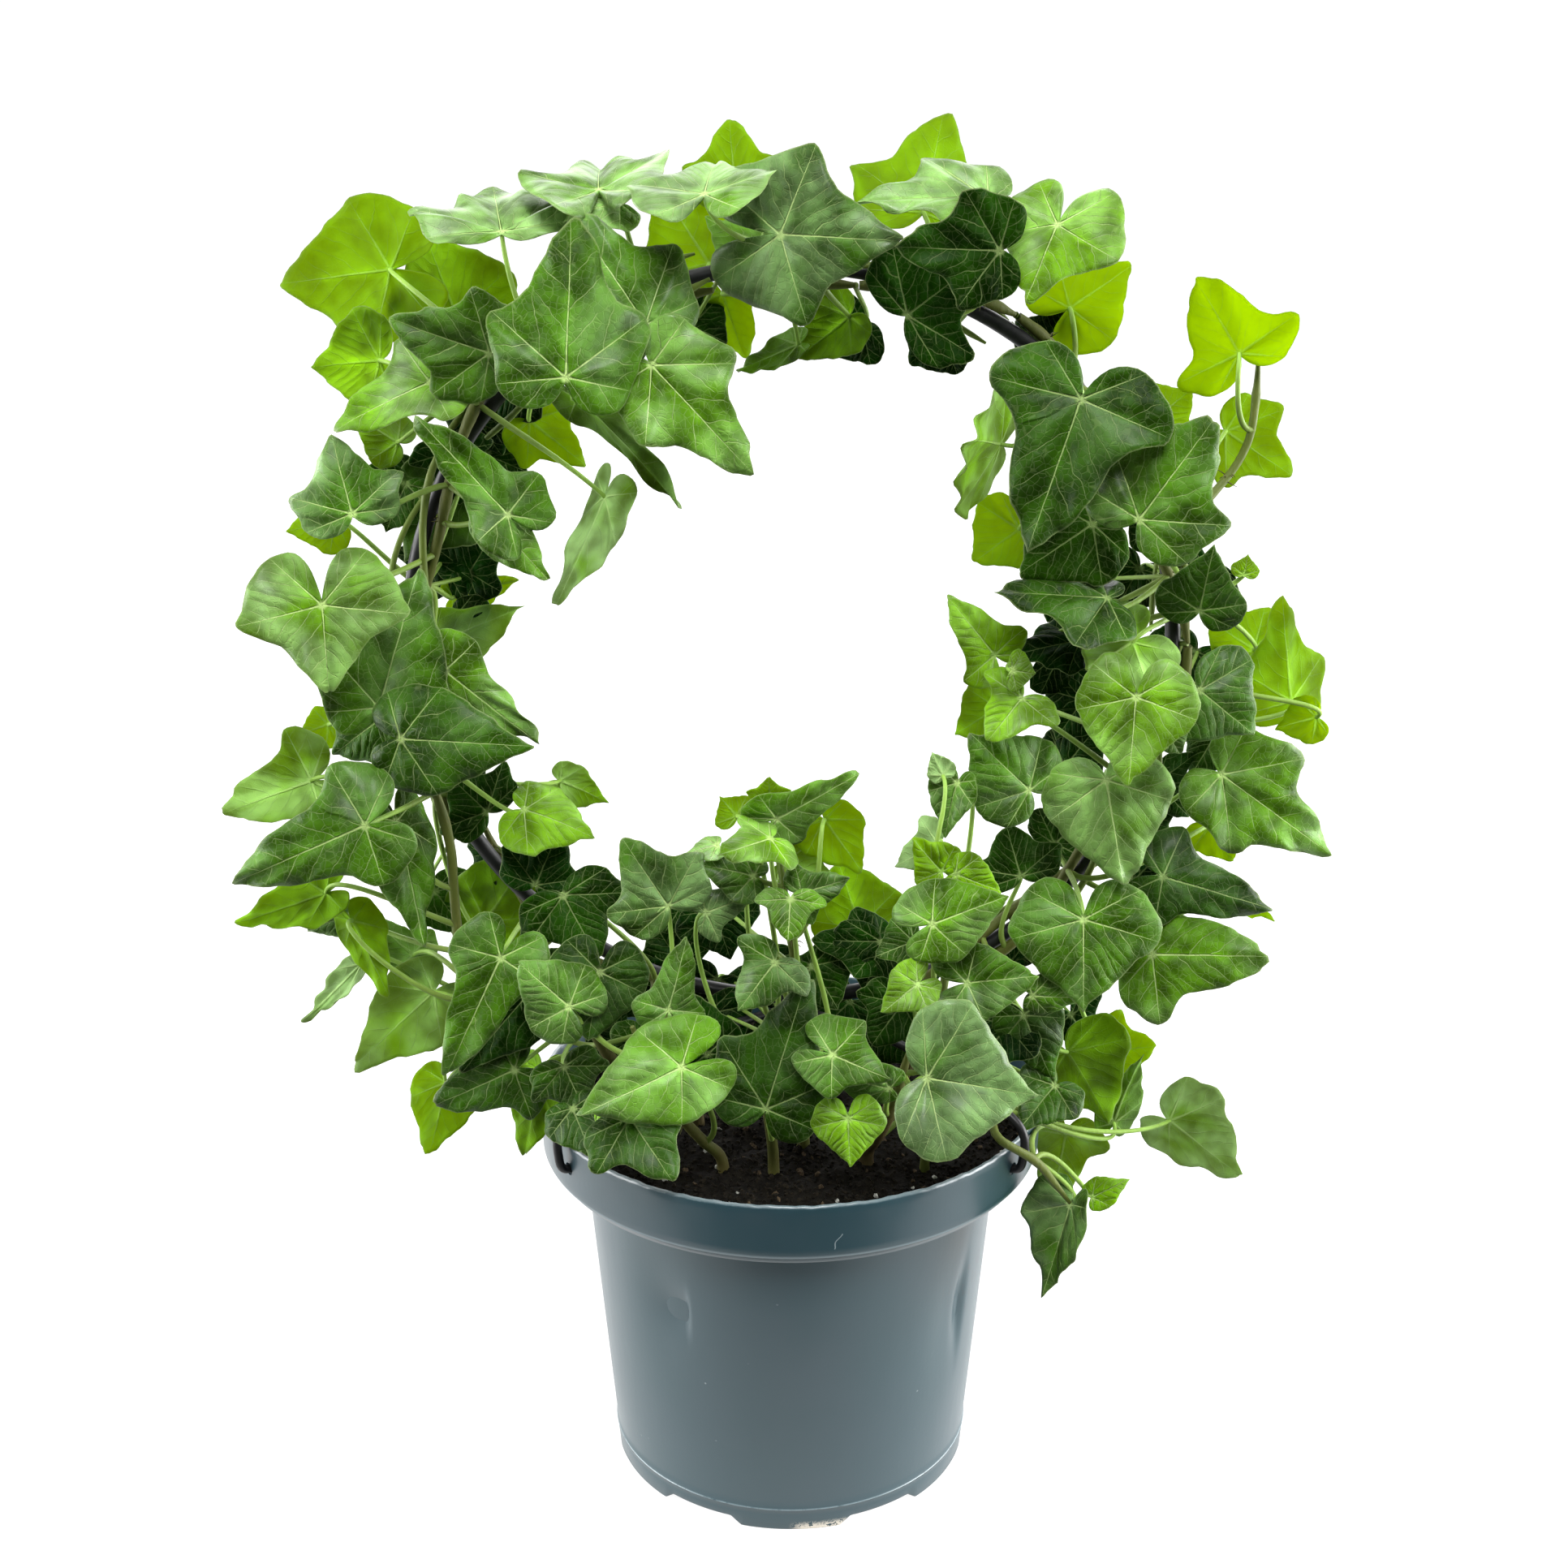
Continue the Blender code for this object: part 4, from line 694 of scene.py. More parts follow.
class NodeKit(TreeKit):
    """Builds a Geometry Nodes tree with named inputs."""

    def __init__(self, name: str, inputs: dict[str, tuple[str, object]]) -> None:
        """Start a tree.

        Args:
            name: Name of the tree.
            inputs: Kind and usual value of each named input.
        """
        super().__init__(bpy.data.node_groups.new(name, "GeometryNodeTree"))
        self.tree.interface.new_socket("Geometry", in_out="INPUT", socket_type="NodeSocketGeometry")
        self.named: dict[str, str] = {}
        for label, (kind, value) in inputs.items():
            socket = self.tree.interface.new_socket(label, in_out="INPUT", socket_type="NodeSocket" + kind)
            if value is not None:
                socket.default_value = value
            self.named[label] = socket.identifier
        self.tree.interface.new_socket("Geometry", in_out="OUTPUT", socket_type="NodeSocketGeometry")
        self.entry = self.tree.nodes.new("NodeGroupInput")

    def close(self, geometry: bpy.types.Node) -> None:
        """End the tree in Realize Instances and Set Material."""
        real = self.node("GeometryNodeRealizeInstances", None, {"Geometry": geometry})
        dressed = self.node("GeometryNodeSetMaterial", None, {"Geometry": real, "Material": "in:Finish"})
        self.node("NodeGroupOutput", None, {0: dressed})

    def grow(self, name: str, source: bpy.types.Mesh, values: dict[str, object]) -> Piece:
        """Run the tree on a mesh.

        Args:
            name: Name of the new piece.
            source: Mesh that the tree starts from.
            values: Values of the named inputs.

        Returns:
            A plain mesh object.
        """
        piece = added(name, source)
        step = piece.modifiers.new(self.tree.name, "NODES")
        step.node_group = self.tree
        for label, value in values.items():
            step[self.named[label]] = value
        settle(piece)
        piece.data.name = name
        return piece


class RodWeaver:
    """Geometry Nodes tree that gives paths a round section, with knobbly bark where asked."""

    def __init__(self) -> None:
        """Build the tree."""
        kit = NodeKit("rods_along_paths", {"Sides": ("Int", 10), "Bark Relief": ("Float", 0.0),
                                           "Bark Scale": ("Float", 420.0), "Finish": ("Material", None)})
        paths = kit.node("GeometryNodeMeshToCurve", None, {"Mesh": "in:Geometry"})
        section = kit.node("GeometryNodeCurvePrimitiveCircle", {"mode": "RADIUS"},
                           {"Resolution": "in:Sides", "Radius": 1.0})
        thick = kit.wire("GeometryNodeInputNamedAttribute", {"data_type": "FLOAT"}, {"Name": "thickness"})
        rods = kit.node("GeometryNodeCurveToMesh", None, {
            "Curve": paths, "Profile Curve": section, "Scale": thick, "Fill Caps": True})
        bark = kit.wire("ShaderNodeTexNoise", None, {"Scale": "in:Bark Scale", "Detail": 2.0})
        lift = (bark - 0.5) * Wire(kit, kit.entry.outputs["Bark Relief"]) * thick
        shift = kit.node("ShaderNodeVectorMath", {"operation": "SCALE"},
                         {0: kit.node("GeometryNodeInputNormal"), "Scale": lift})
        moved = kit.node("GeometryNodeSetPosition", None, {"Geometry": rods, "Offset": shift})
        kit.close(kit.node("GeometryNodeSetShadeSmooth", None, {"Geometry": moved}))
        self.kit = kit

    def weave(self, name: str, paths: list["RodPath"], finish: Material, sides: int = 10,
              relief: float = 0.0) -> Piece:
        """Round rods along paths.

        Args:
            name: Name of the new piece.
            paths: Paths with a thickness and an age at each point.
            finish: Material.
            sides: Corners of the section.
            relief: Height of the bark's knobs, as a share of the rod's radius.

        Returns:
            A plain mesh object.
        """
        points: list[Vector] = []
        edges: list[tuple[int, int]] = []
        for path in paths:
            first = len(points)
            points.extend(path.points)
            edges.extend((first + step, first + step + 1) for step in range(len(path.points) - 1))
            if path.closed:
                edges.append((len(points) - 1, first))
        mesh = bpy.data.meshes.new(name + ".paths")
        mesh.from_pydata([tuple(point) for point in points], edges, [])
        for label, part in (("thickness", "radii"), ("age", "ages")):
            layer = mesh.attributes.new(label, "FLOAT", "POINT")
            layer.data.foreach_set("value", [value for path in paths for value in getattr(path, part)])
        return self.kit.grow(name, mesh, {"Sides": sides, "Bark Relief": relief, "Finish": finish})


@dataclass
class RodPath:
    """Path of a rod or stem, with its radius and age at each point."""

    points: list[Vector]
    radii: list[float]
    ages: list[float]
    closed: bool = False


@dataclass
class Pose:
    """Place of a blade in space: joint, midrib, side and upward vectors, length and width."""

    joint: Vector
    midrib: Vector
    side: Vector
    upward: Vector
    length: float
    width: float


@dataclass
class IvyBlade:
    """One leaf blade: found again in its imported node, then built finely."""

    leaf: Leaf
    number: int
    thickness: float = 0.00075
    seed: int = 23
    ripple_share: tuple[float, float] = (0.02, 0.045)
    ripple_turn: float = 2.4
    droop_share: tuple[float, float] = (0.03, 0.13)
    folded: float = 0.2
    uneven: tuple[float, float] = (0.95, 1.05)
    margin_waves: tuple[tuple[int, float], ...] = ((5, 0.014), (9, 0.013), (16, 0.010), (29, 0.005))
    pillow: tuple[float, float] = (0.06, 0.12)
    frill: tuple[float, float] = (0.02, 0.06)
    columns: int = 84
    rings: int = 10
    half_thickness: float = 0.00021
    soft: float = 0.0011
    shaded_from: float = 0.8
    ring_power: float = 0.85
    tip_sharp: float = 0.4
    lobe_reach: float = 0.9
    frills: tuple[int, int] = (7, 10)
    tone_spread: float = 0.10
    fine_seed: int = 1000

    def __post_init__(self) -> None:
        """Draw the blade's own ripple, droop and fold."""
        draw = random.Random(self.seed + self.number)
        self.ripple = draw.uniform(*self.ripple_share)
        self.phase = draw.uniform(0.0, math.tau)
        self.droop = draw.uniform(*self.droop_share)
        turned = draw.choice((-1.0, 1.0)) if self.leaf.fold < self.folded else 1.0
        self.fold = self.leaf.fold * turned
        self.draw = random.Random(self.fine_seed + self.number)

    def pose(self, shift: float, tip_shift: float, roll_shift: float) -> Pose:
        """Place of the blade after it is eased by millimetres of depth and degrees of roll.

        Args:
            shift: Depth added to the whole blade.
            tip_shift: Depth added to its tip.
            roll_shift: Roll added.

        Returns:
            The place.
        """
        leaf = self.leaf
        joint = Sheet.spot(leaf.joint[0], leaf.joint[1], leaf.joint[2] + shift)
        tip = Sheet.spot(leaf.tip[0], leaf.tip[1], leaf.tip[2] + shift + tip_shift)
        midrib = tip - joint
        length = midrib.length
        midrib.normalize()
        sight = (Sheet.eye - joint).normalized()
        upward = (sight - midrib * sight.dot(midrib)).normalized()
        upward.rotate(Matrix.Rotation(math.radians(leaf.roll + roll_shift), 3, midrib))
        upward *= leaf.face
        return Pose(joint, midrib, midrib.cross(upward), upward, length, leaf.width * MM)

    def outline(self) -> list[tuple[float, float]]:
        """Whole outline, from the sinus up the right side, over the tip and back down."""
        half = self.leaf.form.shares(PACKED)
        return [*half, *[(-across, along) for across, along in half[-2:0:-1]]]

    def ripples(self, pose: Pose) -> list[float]:
        """Rise of the margin's ripple at each outline point."""
        return [self.ripple * pose.length * math.sin(self.ripple_turn * index + self.phase)
                * min(1.0, abs(across) * 3) for index, (across, _) in enumerate(self.outline())]

    def corners(self, pose: Pose) -> list[Vector]:
        """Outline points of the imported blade's upper face."""
        half = self.thickness * math.hypot(1.0, self.fold) * (1.0 + self.ripple_share[1]) / 2
        spots = []
        for (across, along), ripple in zip(self.outline(), self.ripples(pose)):
            rise = self.fold * abs(across) * pose.width + ripple
            rise -= self.droop * pose.length * max(0.0, along) ** 2
            spots.append(pose.joint + pose.midrib * (along * pose.length)
                         + pose.side * (across * pose.width) + pose.upward * (rise + half))
        return spots

    def margin(self, pose: Pose) -> np.ndarray:
        """Smooth margin as rows of across, along and ripple, in metres.

        Args:
            pose: Place of the blade.

        Returns:
            The rows.
        """
        packed = np.array(self.outline())
        rises = np.array(self.ripples(pose))
        fine = self.leaf.form.shares(MARGIN)
        knots = np.array([*fine, *[(-across, along) for across, along in fine[-2:0:-1]]])
        for side in (1.0, -1.0):
            half = knots[:, 0] * side > 0.0
            knots[half] *= (self.draw.uniform(*self.uneven), self.draw.uniform(*self.uneven))
        bearing = np.arctan2(knots[:, 0], knots[:, 1])
        turns = np.arctan2(packed[:, 0], packed[:, 1])
        rows = []
        ripple = np.interp(bearing, *zip(*sorted(zip(turns[1:], rises[1:]))))
        knots = np.column_stack([knots * (pose.width, pose.length), ripple])
        count = len(knots)
        ahead = np.roll(knots, -1, axis=0)
        span = np.linalg.norm((ahead - knots)[:, :2], axis=1)
        tangent = (ahead - np.roll(knots, 1, axis=0)) / (span + np.roll(span, 1))[:, None]
        tangent[0] = 0.0
        tangent[len(fine) - 1] *= self.tip_sharp
        for index in range(count):
            after = (index + 1) % count
            steps = max(2, round(self.columns * span[index] / span.sum()))
            t = (np.arange(steps) / steps)[:, None]
            row = knots[index] * (2 * t ** 3 - 3 * t ** 2 + 1) + knots[after] * (3 * t ** 2 - 2 * t ** 3)
            row += tangent[index] * span[index] * (t ** 3 - 2 * t ** 2 + t)
            row += tangent[after] * span[index] * (t ** 3 - t ** 2)
            rows.append(row)
        line = np.vstack(rows)
        turn = np.linspace(0.0, math.tau, len(line), endpoint=False)
        wave = sum(size * np.sin(rate * turn + self.draw.uniform(0.0, math.tau))
                   for rate, size in self.margin_waves)
        line[:, :2] *= (1.0 + wave)[:, None]
        return line

    def build(self, pose: Pose, parts: "MeshParts") -> None:
        """Add the blade to a vine's mesh.

        Args:
            pose: Place of the blade.
            parts: Mesh in the making.
        """
        def rays(rate: np.ndarray, rim: np.ndarray) -> np.ndarray:
            """Values at the joint and on every ring, from those at the margin."""
            return np.concatenate([[0.0], np.outer(rate, rim).ravel()])

        line = self.margin(pose)
        count = len(line)
        share = (np.arange(1, self.rings + 1) / self.rings) ** self.ring_power
        x, y, s = rays(share, line[:, 0]), rays(share, line[:, 1]), rays(share, np.ones(count))
        ripple = rays(share ** 1.6, line[:, 2])

        ends = [(0.0, pose.length)]
        for across, along in self.leaf.form.shares(VEINS):
            ends += [(side * across * pose.width, along * pose.length) for side in (1.0, -1.0)]
        aims = np.array([math.atan2(*end) for end in ends])
        order = np.argsort(aims)
        bearing = np.arctan2(line[:, 0], line[:, 1])
        radius = np.hypot(line[:, 0], line[:, 1])
        middle = np.arctan2(line[:, 0] + np.roll(line[:, 0], -1), line[:, 1] + np.roll(line[:, 1], -1))
        sector = np.abs(middle[:, None] - aims[None, :]).argmin(axis=1)
        reach = np.array([radius[np.abs(bearing - aim).argmin()] for aim in aims])
        fences = np.concatenate([[aims[order[0]] - self.lobe_reach], aims[order],
                                 [aims[order[-1]] + self.lobe_reach]])
        slot = np.clip(np.searchsorted(fences, bearing) - 1, 0, len(fences) - 2)
        within = np.clip((bearing - fences[slot]) / (fences[slot + 1] - fences[slot]), 0.0, 1.0)
        pillow = np.sin(math.pi * within) ** 1.2 * radius * self.draw.uniform(*self.pillow)
        quilt = rays(share * (1.0 - share ** 2.2) * 1.9, pillow)
        lap = self.draw.uniform(0.0, math.tau)
        frill = np.sin(np.linspace(0.0, math.tau * self.draw.randint(*self.frills), count) + lap)
        frill *= self.draw.uniform(*self.frill) * radius
        rise = self.fold * (np.sqrt(x ** 2 + self.soft ** 2) - self.soft) + ripple + quilt
        rise += rays(share ** 4, frill)
        rise -= self.droop * pose.length * (np.maximum(0.0, y) / pose.length) ** 2

        grid = np.stack([x, y, rise], axis=1)
        body = grid[1:].reshape(self.rings, count, 3)
        outward = np.gradient(np.concatenate([grid[:1].repeat(count, 0)[None], body]), axis=0)[1:]
        around = (np.roll(body, -1, axis=1) - np.roll(body, 1, axis=1)) / 2
        normal = np.cross(outward, around)
        normal /= np.maximum(np.linalg.norm(normal, axis=2, keepdims=True), 1e-12)
        normal = np.concatenate([[[0.0, 0.0, 1.0]], normal.reshape(-1, 3)])
        thin = (self.half_thickness * (1.0 - 0.6 * s ** 6))[:, None]
        axes = np.array([pose.side, pose.midrib, pose.upward])
        skins = [(grid + normal * thin * side) @ axes + np.array(pose.joint) for side in (1.0, -1.0)]

        total = len(grid)
        step = np.arange(count)
        after = (step + 1) % count
        fans = np.stack([np.zeros(count, int), 1 + step, 1 + after], axis=1)
        quads = np.array(ring_faces(self.rings, count))[:, [0, 3, 2, 1]] + 1
        last = 1 + (self.rings - 1) * count
        rim = np.stack([last + step, total + last + step, total + last + after, last + after], axis=1)
        blocks = ((fans, 0), (quads, 0), (fans[:, ::-1] + total, 1), (quads[:, ::-1] + total, 1), (rim, 0))
        tone = self.leaf.tone.value
        vary = self.draw.uniform(-self.tone_spread, self.tone_spread)
        base = parts.begin(np.vstack(skins))
        mm = 1000.0
        # Blades dark enough to stand in painted shade take the shaded copy of the upper skin, which reflects
        # less
        shaded = 2 if tone[0] > self.shaded_from else 0
        for block, skin in blocks:
            kind = np.repeat(np.tile(sector, len(block) // count), block.shape[1])
            local = block.ravel() % total
            aim = aims[kind]
            near, far = x[local], y[local]
            forth = near * np.sin(aim) + far * np.cos(aim)
            off = near * np.cos(aim) - far * np.sin(aim)
            parts.add(block + base, skin or shaded, {
                "leaf_mm": np.stack([near * mm, far * mm], axis=1),
                "vein_mm": np.stack([off * mm, forth * mm], axis=1),
                "reach": np.stack([s[local], np.clip(forth / reach[kind], 0.0, 1.0)], axis=1),
                # tone holds darkness (partly painted shade) and freshness; the sheen map holds painted sheen
                # and light through
                "tone": np.tile([min(1.0, max(0.0, tone[0] + vary)), tone[1]], (len(local), 1)),
                "bloom": np.tile(tone[2:], (len(local), 1)),
                "grain": np.tile([pose.length * mm, self.number * 7.3 % 50.0], (len(local), 1)),
            })


class MeshParts:
    """Points, faces and face maps of a mesh in the making."""

    def __init__(self) -> None:
        """Start empty."""
        self.points: list[np.ndarray] = []
        self.faces: list[list[int]] = []
        self.skins: list[int] = []
        self.maps: dict[str, list[np.ndarray]] = {}
        self.count = 0

    def begin(self, points: np.ndarray) -> int:
        """Add points and return the number of the first."""
        first = self.count
        self.points.append(points)
        self.count += len(points)
        return first

    def add(self, faces: np.ndarray, skin: int, maps: dict[str, np.ndarray]) -> None:
        """Add faces of one skin, with a row of each map for every corner."""
        self.faces.extend(faces.tolist())
        self.skins.extend([skin] * len(faces))
        for name, rows in maps.items():
            self.maps.setdefault(name, []).append(rows)

    def make(self, name: str, skins: list[Material]) -> Piece:
        """Turn the parts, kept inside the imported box, into a mesh object with its materials."""
        made = plain_mesh(name, np.clip(np.vstack(self.points), *CAD_BOX), self.faces)
        for skin in skins:
            made.data.materials.append(skin)
        made.data.polygons.foreach_set("material_index", self.skins)
        for label, rows in self.maps.items():
            layer = made.data.uv_layers.new(name=label)
            layer.uv.foreach_set("vector", np.vstack(rows).astype(np.float32).ravel())
        return made


@dataclass
class StalkFinder:
    """Finds again how a leaf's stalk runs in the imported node."""

    tree: BVHTree
    vine: Vine
    stalk_radius: float = 0.0009
    sides: int = 3
    spans: int = 2
    short: float = 0.014
    longest: float = 0.024
    least: float = 0.004
    lowest: float = 0.1195
    along_share: float = 0.4
    across_share: float = 0.65
    spots: int = 16
    swings: tuple[float, ...] = (0.0, 0.5, -0.5, 1.0, -1.0)
    leans: tuple[float, ...] = (0.0, 0.8, -0.8)
    taper: float = 0.35
    share: float = 0.8
    close: float = 0.00008

    def handles(self, start: Vector, outward: Vector, pose: Pose, swing: float) -> list[Vector]:
        """Four handles of the stalk's curve."""
        gap = (pose.joint - start).length
        arrive = (pose.upward + pose.midrib * self.along_share
                  + pose.side * swing * self.across_share).normalized()
        return [start, start + outward * (gap / 3), pose.joint - arrive * (gap / 3), pose.joint]

    @staticmethod
    def at(handles: list[Vector], t: float) -> Vector:
        """Point of the curve at a share of its way."""
        return (handles[0] * (1 - t) ** 3 + handles[1] * (3 * t * (1 - t) ** 2)
                + handles[2] * (3 * t * t * (1 - t)) + handles[3] * t ** 3)

    def packed_points(self, handles: list[Vector], radius: float) -> list[Vector]:
        """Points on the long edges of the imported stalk, in its outer two thirds.

        Args:
            handles: Handles of its curve.
            radius: Radius at its foot.

        Returns:
            The points.
        """
        gap = (handles[3] - handles[0]).length
        spans = 1 if gap < self.short else self.spans
        path = [self.at(handles, step / spans) for step in range(spans + 1)]
        rings = []
        side = None
        for index, point in enumerate(path):
            along = (path[min(index + 1, spans)] - path[max(index - 1, 0)]).normalized()
            if side is None:
                side = along.cross(Vector((0.0, 1.0, 0.0)))
                if side.length < 0.2:
                    side = along.cross(Vector((1.0, 0.0, 0.0)))
            side = (side - along * side.dot(along)).normalized()
            other = along.cross(side)
            thick = radius * (1.0 - self.taper * index / spans)
            turns = [math.tau * corner / self.sides for corner in range(self.sides)]
            rings.append([point + (side * math.cos(turn) + other * math.sin(turn)) * thick for turn in turns])
        spots = []
        for low, high in zip(rings, rings[1:]):
            for corner in range(self.sides):
                for t in ((0.45, 0.65, 0.85) if spans == 1 else (0.25, 0.5, 0.75)):
                    spots.append(low[corner].lerp(high[corner], t))
        return spots[-self.sides * 4:] if spans > 1 else spots

    def find(self, pose: Pose) -> tuple[list[Vector], float] | None:
        """Handles and radius of the stalk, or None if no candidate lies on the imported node.

        Args:
            pose: Place of the blade.

        Returns:
            The handles and the radius, or None.
        """
        wanted = min(self.longest, pose.length)
        starts = []
        for route in self.vine.routes:
            for (spot, radius), (after, _) in zip(route[1:-1], route[2:]):
                if spot.z < self.lowest:
                    continue
                along = (after - spot).normalized()
                outward = pose.joint - spot
                outward -= along * outward.dot(along)
                reach = (pose.joint - spot).length
                if reach > self.least and outward.length > self.least / 4:
                    starts.append((abs(reach - wanted), spot, outward.normalized(), radius))
        starts.sort(key=lambda entry: entry[0])
        best = None
        for _, spot, outward, radius in starts[:self.spots]:
            thick = min(self.stalk_radius, radius * self.share)
            for swing in self.swings:
                for lean in self.leans:
                    turned = (outward + pose.upward * lean).normalized()
                    handles = self.handles(spot, turned, pose, swing)
                    tests = self.packed_points(handles, thick)
                    near = [self.tree.find_nearest(test)[3] < self.close for test in tests]
                    score = sum(near) / len(near)
                    if score > 0.7:
                        return handles, thick
                    if best is None or score > best[0]:
                        best = (score, handles, thick)
        if best and best[0] > 0.4:
            return best[1], best[2]
        return None


@dataclass
class LeafyStem:
    """One vine: its blades in one piece, and its stem, stalks and rootlets in another."""

    vine: Vine
    first: int
    weaver: RodWeaver
    skins: list[Material]
    bark: Material
    spacing: float = 0.0022
    packed_close: float = 0.00012
    inner_numbers: int = 500
    tuft_share: float = 0.45
    rootlet_length: tuple[float, float] = (0.0012, 0.0034)
    rootlet_seed: int = 300
    rootlet_count: tuple[int, int] = (3, 6)
    inner_stalk: float = 0.0007
    stalk_step: float = 0.0016
    sides: int = 10
    bark_relief: float = 0.22
    eases: tuple[tuple[float, float, float], ...] = (
        (0, 0, 0), (2, 0, 0), (-2, 0, 0), (0, -4, 0), (0, 0, 10), (4, 0, 0), (-4, 0, 0), (4, 4, 0),
        (-4, -4, 0), (3, 0, 14), (-6, -6, 0), (-9, -5, 12), (-9, -5, -12), (-12, 0, 0), (-18, -8, -15),
        (22, 0, 0))

    def packed(self) -> BVHTree:
        """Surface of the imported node."""
        work = bmesh.new()
        work.from_mesh(frame["nodes"][self.vine.node].data)
        bmesh.ops.remove_doubles(work, verts=work.verts, dist=1e-7)
        tree = BVHTree.FromBMesh(work)
        work.free()
        return tree

    def place(self, blade: IvyBlade, tree: BVHTree) -> Pose | None:
        """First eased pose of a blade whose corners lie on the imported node.

        Args:
            blade: The blade.
            tree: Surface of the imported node.

        Returns:
            The pose, or None.
        """
        for ease in self.eases:
            pose = blade.pose(*ease)
            if all(tree.find_nearest(corner)[3] < self.packed_close for corner in blade.corners(pose)):
                return pose
        return None

    def stem_paths(self) -> list[RodPath]:
        """Finely stepped paths of the main stems."""
        paths = []
        for route in self.vine.routes + self.vine.strands:
            spots = [spot for spot, _ in route]
            fine = smooth_path(spots, self.spacing)
            radii = np.interp(np.linspace(0, 1, len(fine)), np.linspace(0, 1, len(route)),
                              [radius for _, radius in route])
            length = np.linspace(0.0, 1.0, len(fine))
            knots = 1.0 + 0.16 * np.maximum(0.0, np.sin(length * len(fine) * 0.42)) ** 8
            woody = np.interp(radii, [0.0010, 0.0022], [0.35, 1.0])
            taper = np.interp(length, [0.0, 0.06, 0.86, 1.0], [0.8, 1.0, 1.0, 0.45])
            paths.append(RodPath(fine, list(radii * knots * taper * 0.95), list(woody)))
        return paths

    def rootlets(self) -> list[RodPath]:
        """Tufts of short brown rootlets along the stems."""
        draw = random.Random(self.rootlet_seed + self.first)
        paths = []
        for route in self.vine.routes:
            for (spot, radius), (after, _) in zip(route[1::2], route[2::2]):
                if draw.random() > self.tuft_share:
                    continue
                along = (after - spot).normalized()
                for _ in range(draw.randint(*self.rootlet_count)):
                    outward = Vector([draw.uniform(-1.0, 1.0) for _ in range(3)])
                    outward = (outward - along * outward.dot(along)).normalized()
                    bend = (outward + Vector((0.0, 0.0, draw.uniform(-0.9, 0.2)))).normalized()
                    length = draw.uniform(*self.rootlet_length)
                    foot = spot + along * draw.uniform(-0.002, 0.002) + outward * radius * 0.7
                    middle = foot + outward * length * 0.5
                    points = [foot, middle, middle + bend * length * 0.5]
                    paths.append(RodPath(points, [0.00020, 0.00015, 0.00006], [0.8, 0.8, 0.7]))
        return paths

    def stalk_path(self, finder: StalkFinder, handles: list[Vector], radius: float) -> RodPath:
        """Finely stepped stalk, thicker at its foot."""
        steps = max(6, round((handles[3] - handles[0]).length / self.stalk_step))
        points = [finder.at(handles, step / steps) for step in range(steps + 1)]
        radii = [radius * (1.0 - finder.taper * step / steps) for step in range(steps + 1)]
        radii[-1] *= 1.1
        radii[0] *= 1.35
        return RodPath(points, radii, [0.32 * (1.0 - step / steps) + 0.03 for step in range(steps + 1)])

    def build(self) -> list[Piece]:
        """Build the vine's pieces.

        Returns:
            The blades' piece and the stems' piece.
        """
        tree = self.packed()
        finder = StalkFinder(tree, self.vine)
        paths = self.stem_paths() + self.rootlets()
        parts = MeshParts()
        for index, leaf in enumerate(self.vine.inner):
            blade = IvyBlade(leaf, self.inner_numbers + self.first + index)
            pose = blade.pose(0.0, 0.0, 0.0)
            blade.build(pose, parts)
            spots = [spot for route in self.vine.routes for spot, _ in route if spot.z > finder.lowest]
            start = min(spots, key=lambda spot: (spot - pose.joint).length)
            outward = (pose.joint - start).normalized()
            paths.append(self.stalk_path(finder, finder.handles(start, outward, pose, 0.0), self.inner_stalk))
        for index, leaf in enumerate(self.vine.leaves):
            blade = IvyBlade(leaf, self.first + index)
            pose = self.place(blade, tree)
            if pose is None:
                LOG.info("%s: leaf %d at %s isn't in the node", self.vine.node, index, leaf.joint)
                continue
            blade.build(pose, parts)
            stalk = finder.find(pose)
            if stalk is None:
                LOG.info("%s: stalk %d not found", self.vine.node, index)
                continue
            paths.append(self.stalk_path(finder, *stalk))
        foliage = parts.make(self.vine.node + ".foliage", self.skins)
        stems = self.weaver.weave(self.vine.node + ".stems", paths, self.bark, self.sides, self.bark_relief)
        for piece in (foliage, stems):
            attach(piece, "root")
            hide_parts(self.vine.node)
            self.vine.node + "_leaf"
        return [foliage, stems]


@dataclass(frozen=True)
class Grain(SpeckledFinish):
    """One kind of grain on the mix: its finish, grains a square metre, largest radius and spread."""

    density: float = 12000.0
    size: float = 0.0013
    spread: float = 0.65
    seed: int = 17
    detail: int = 1


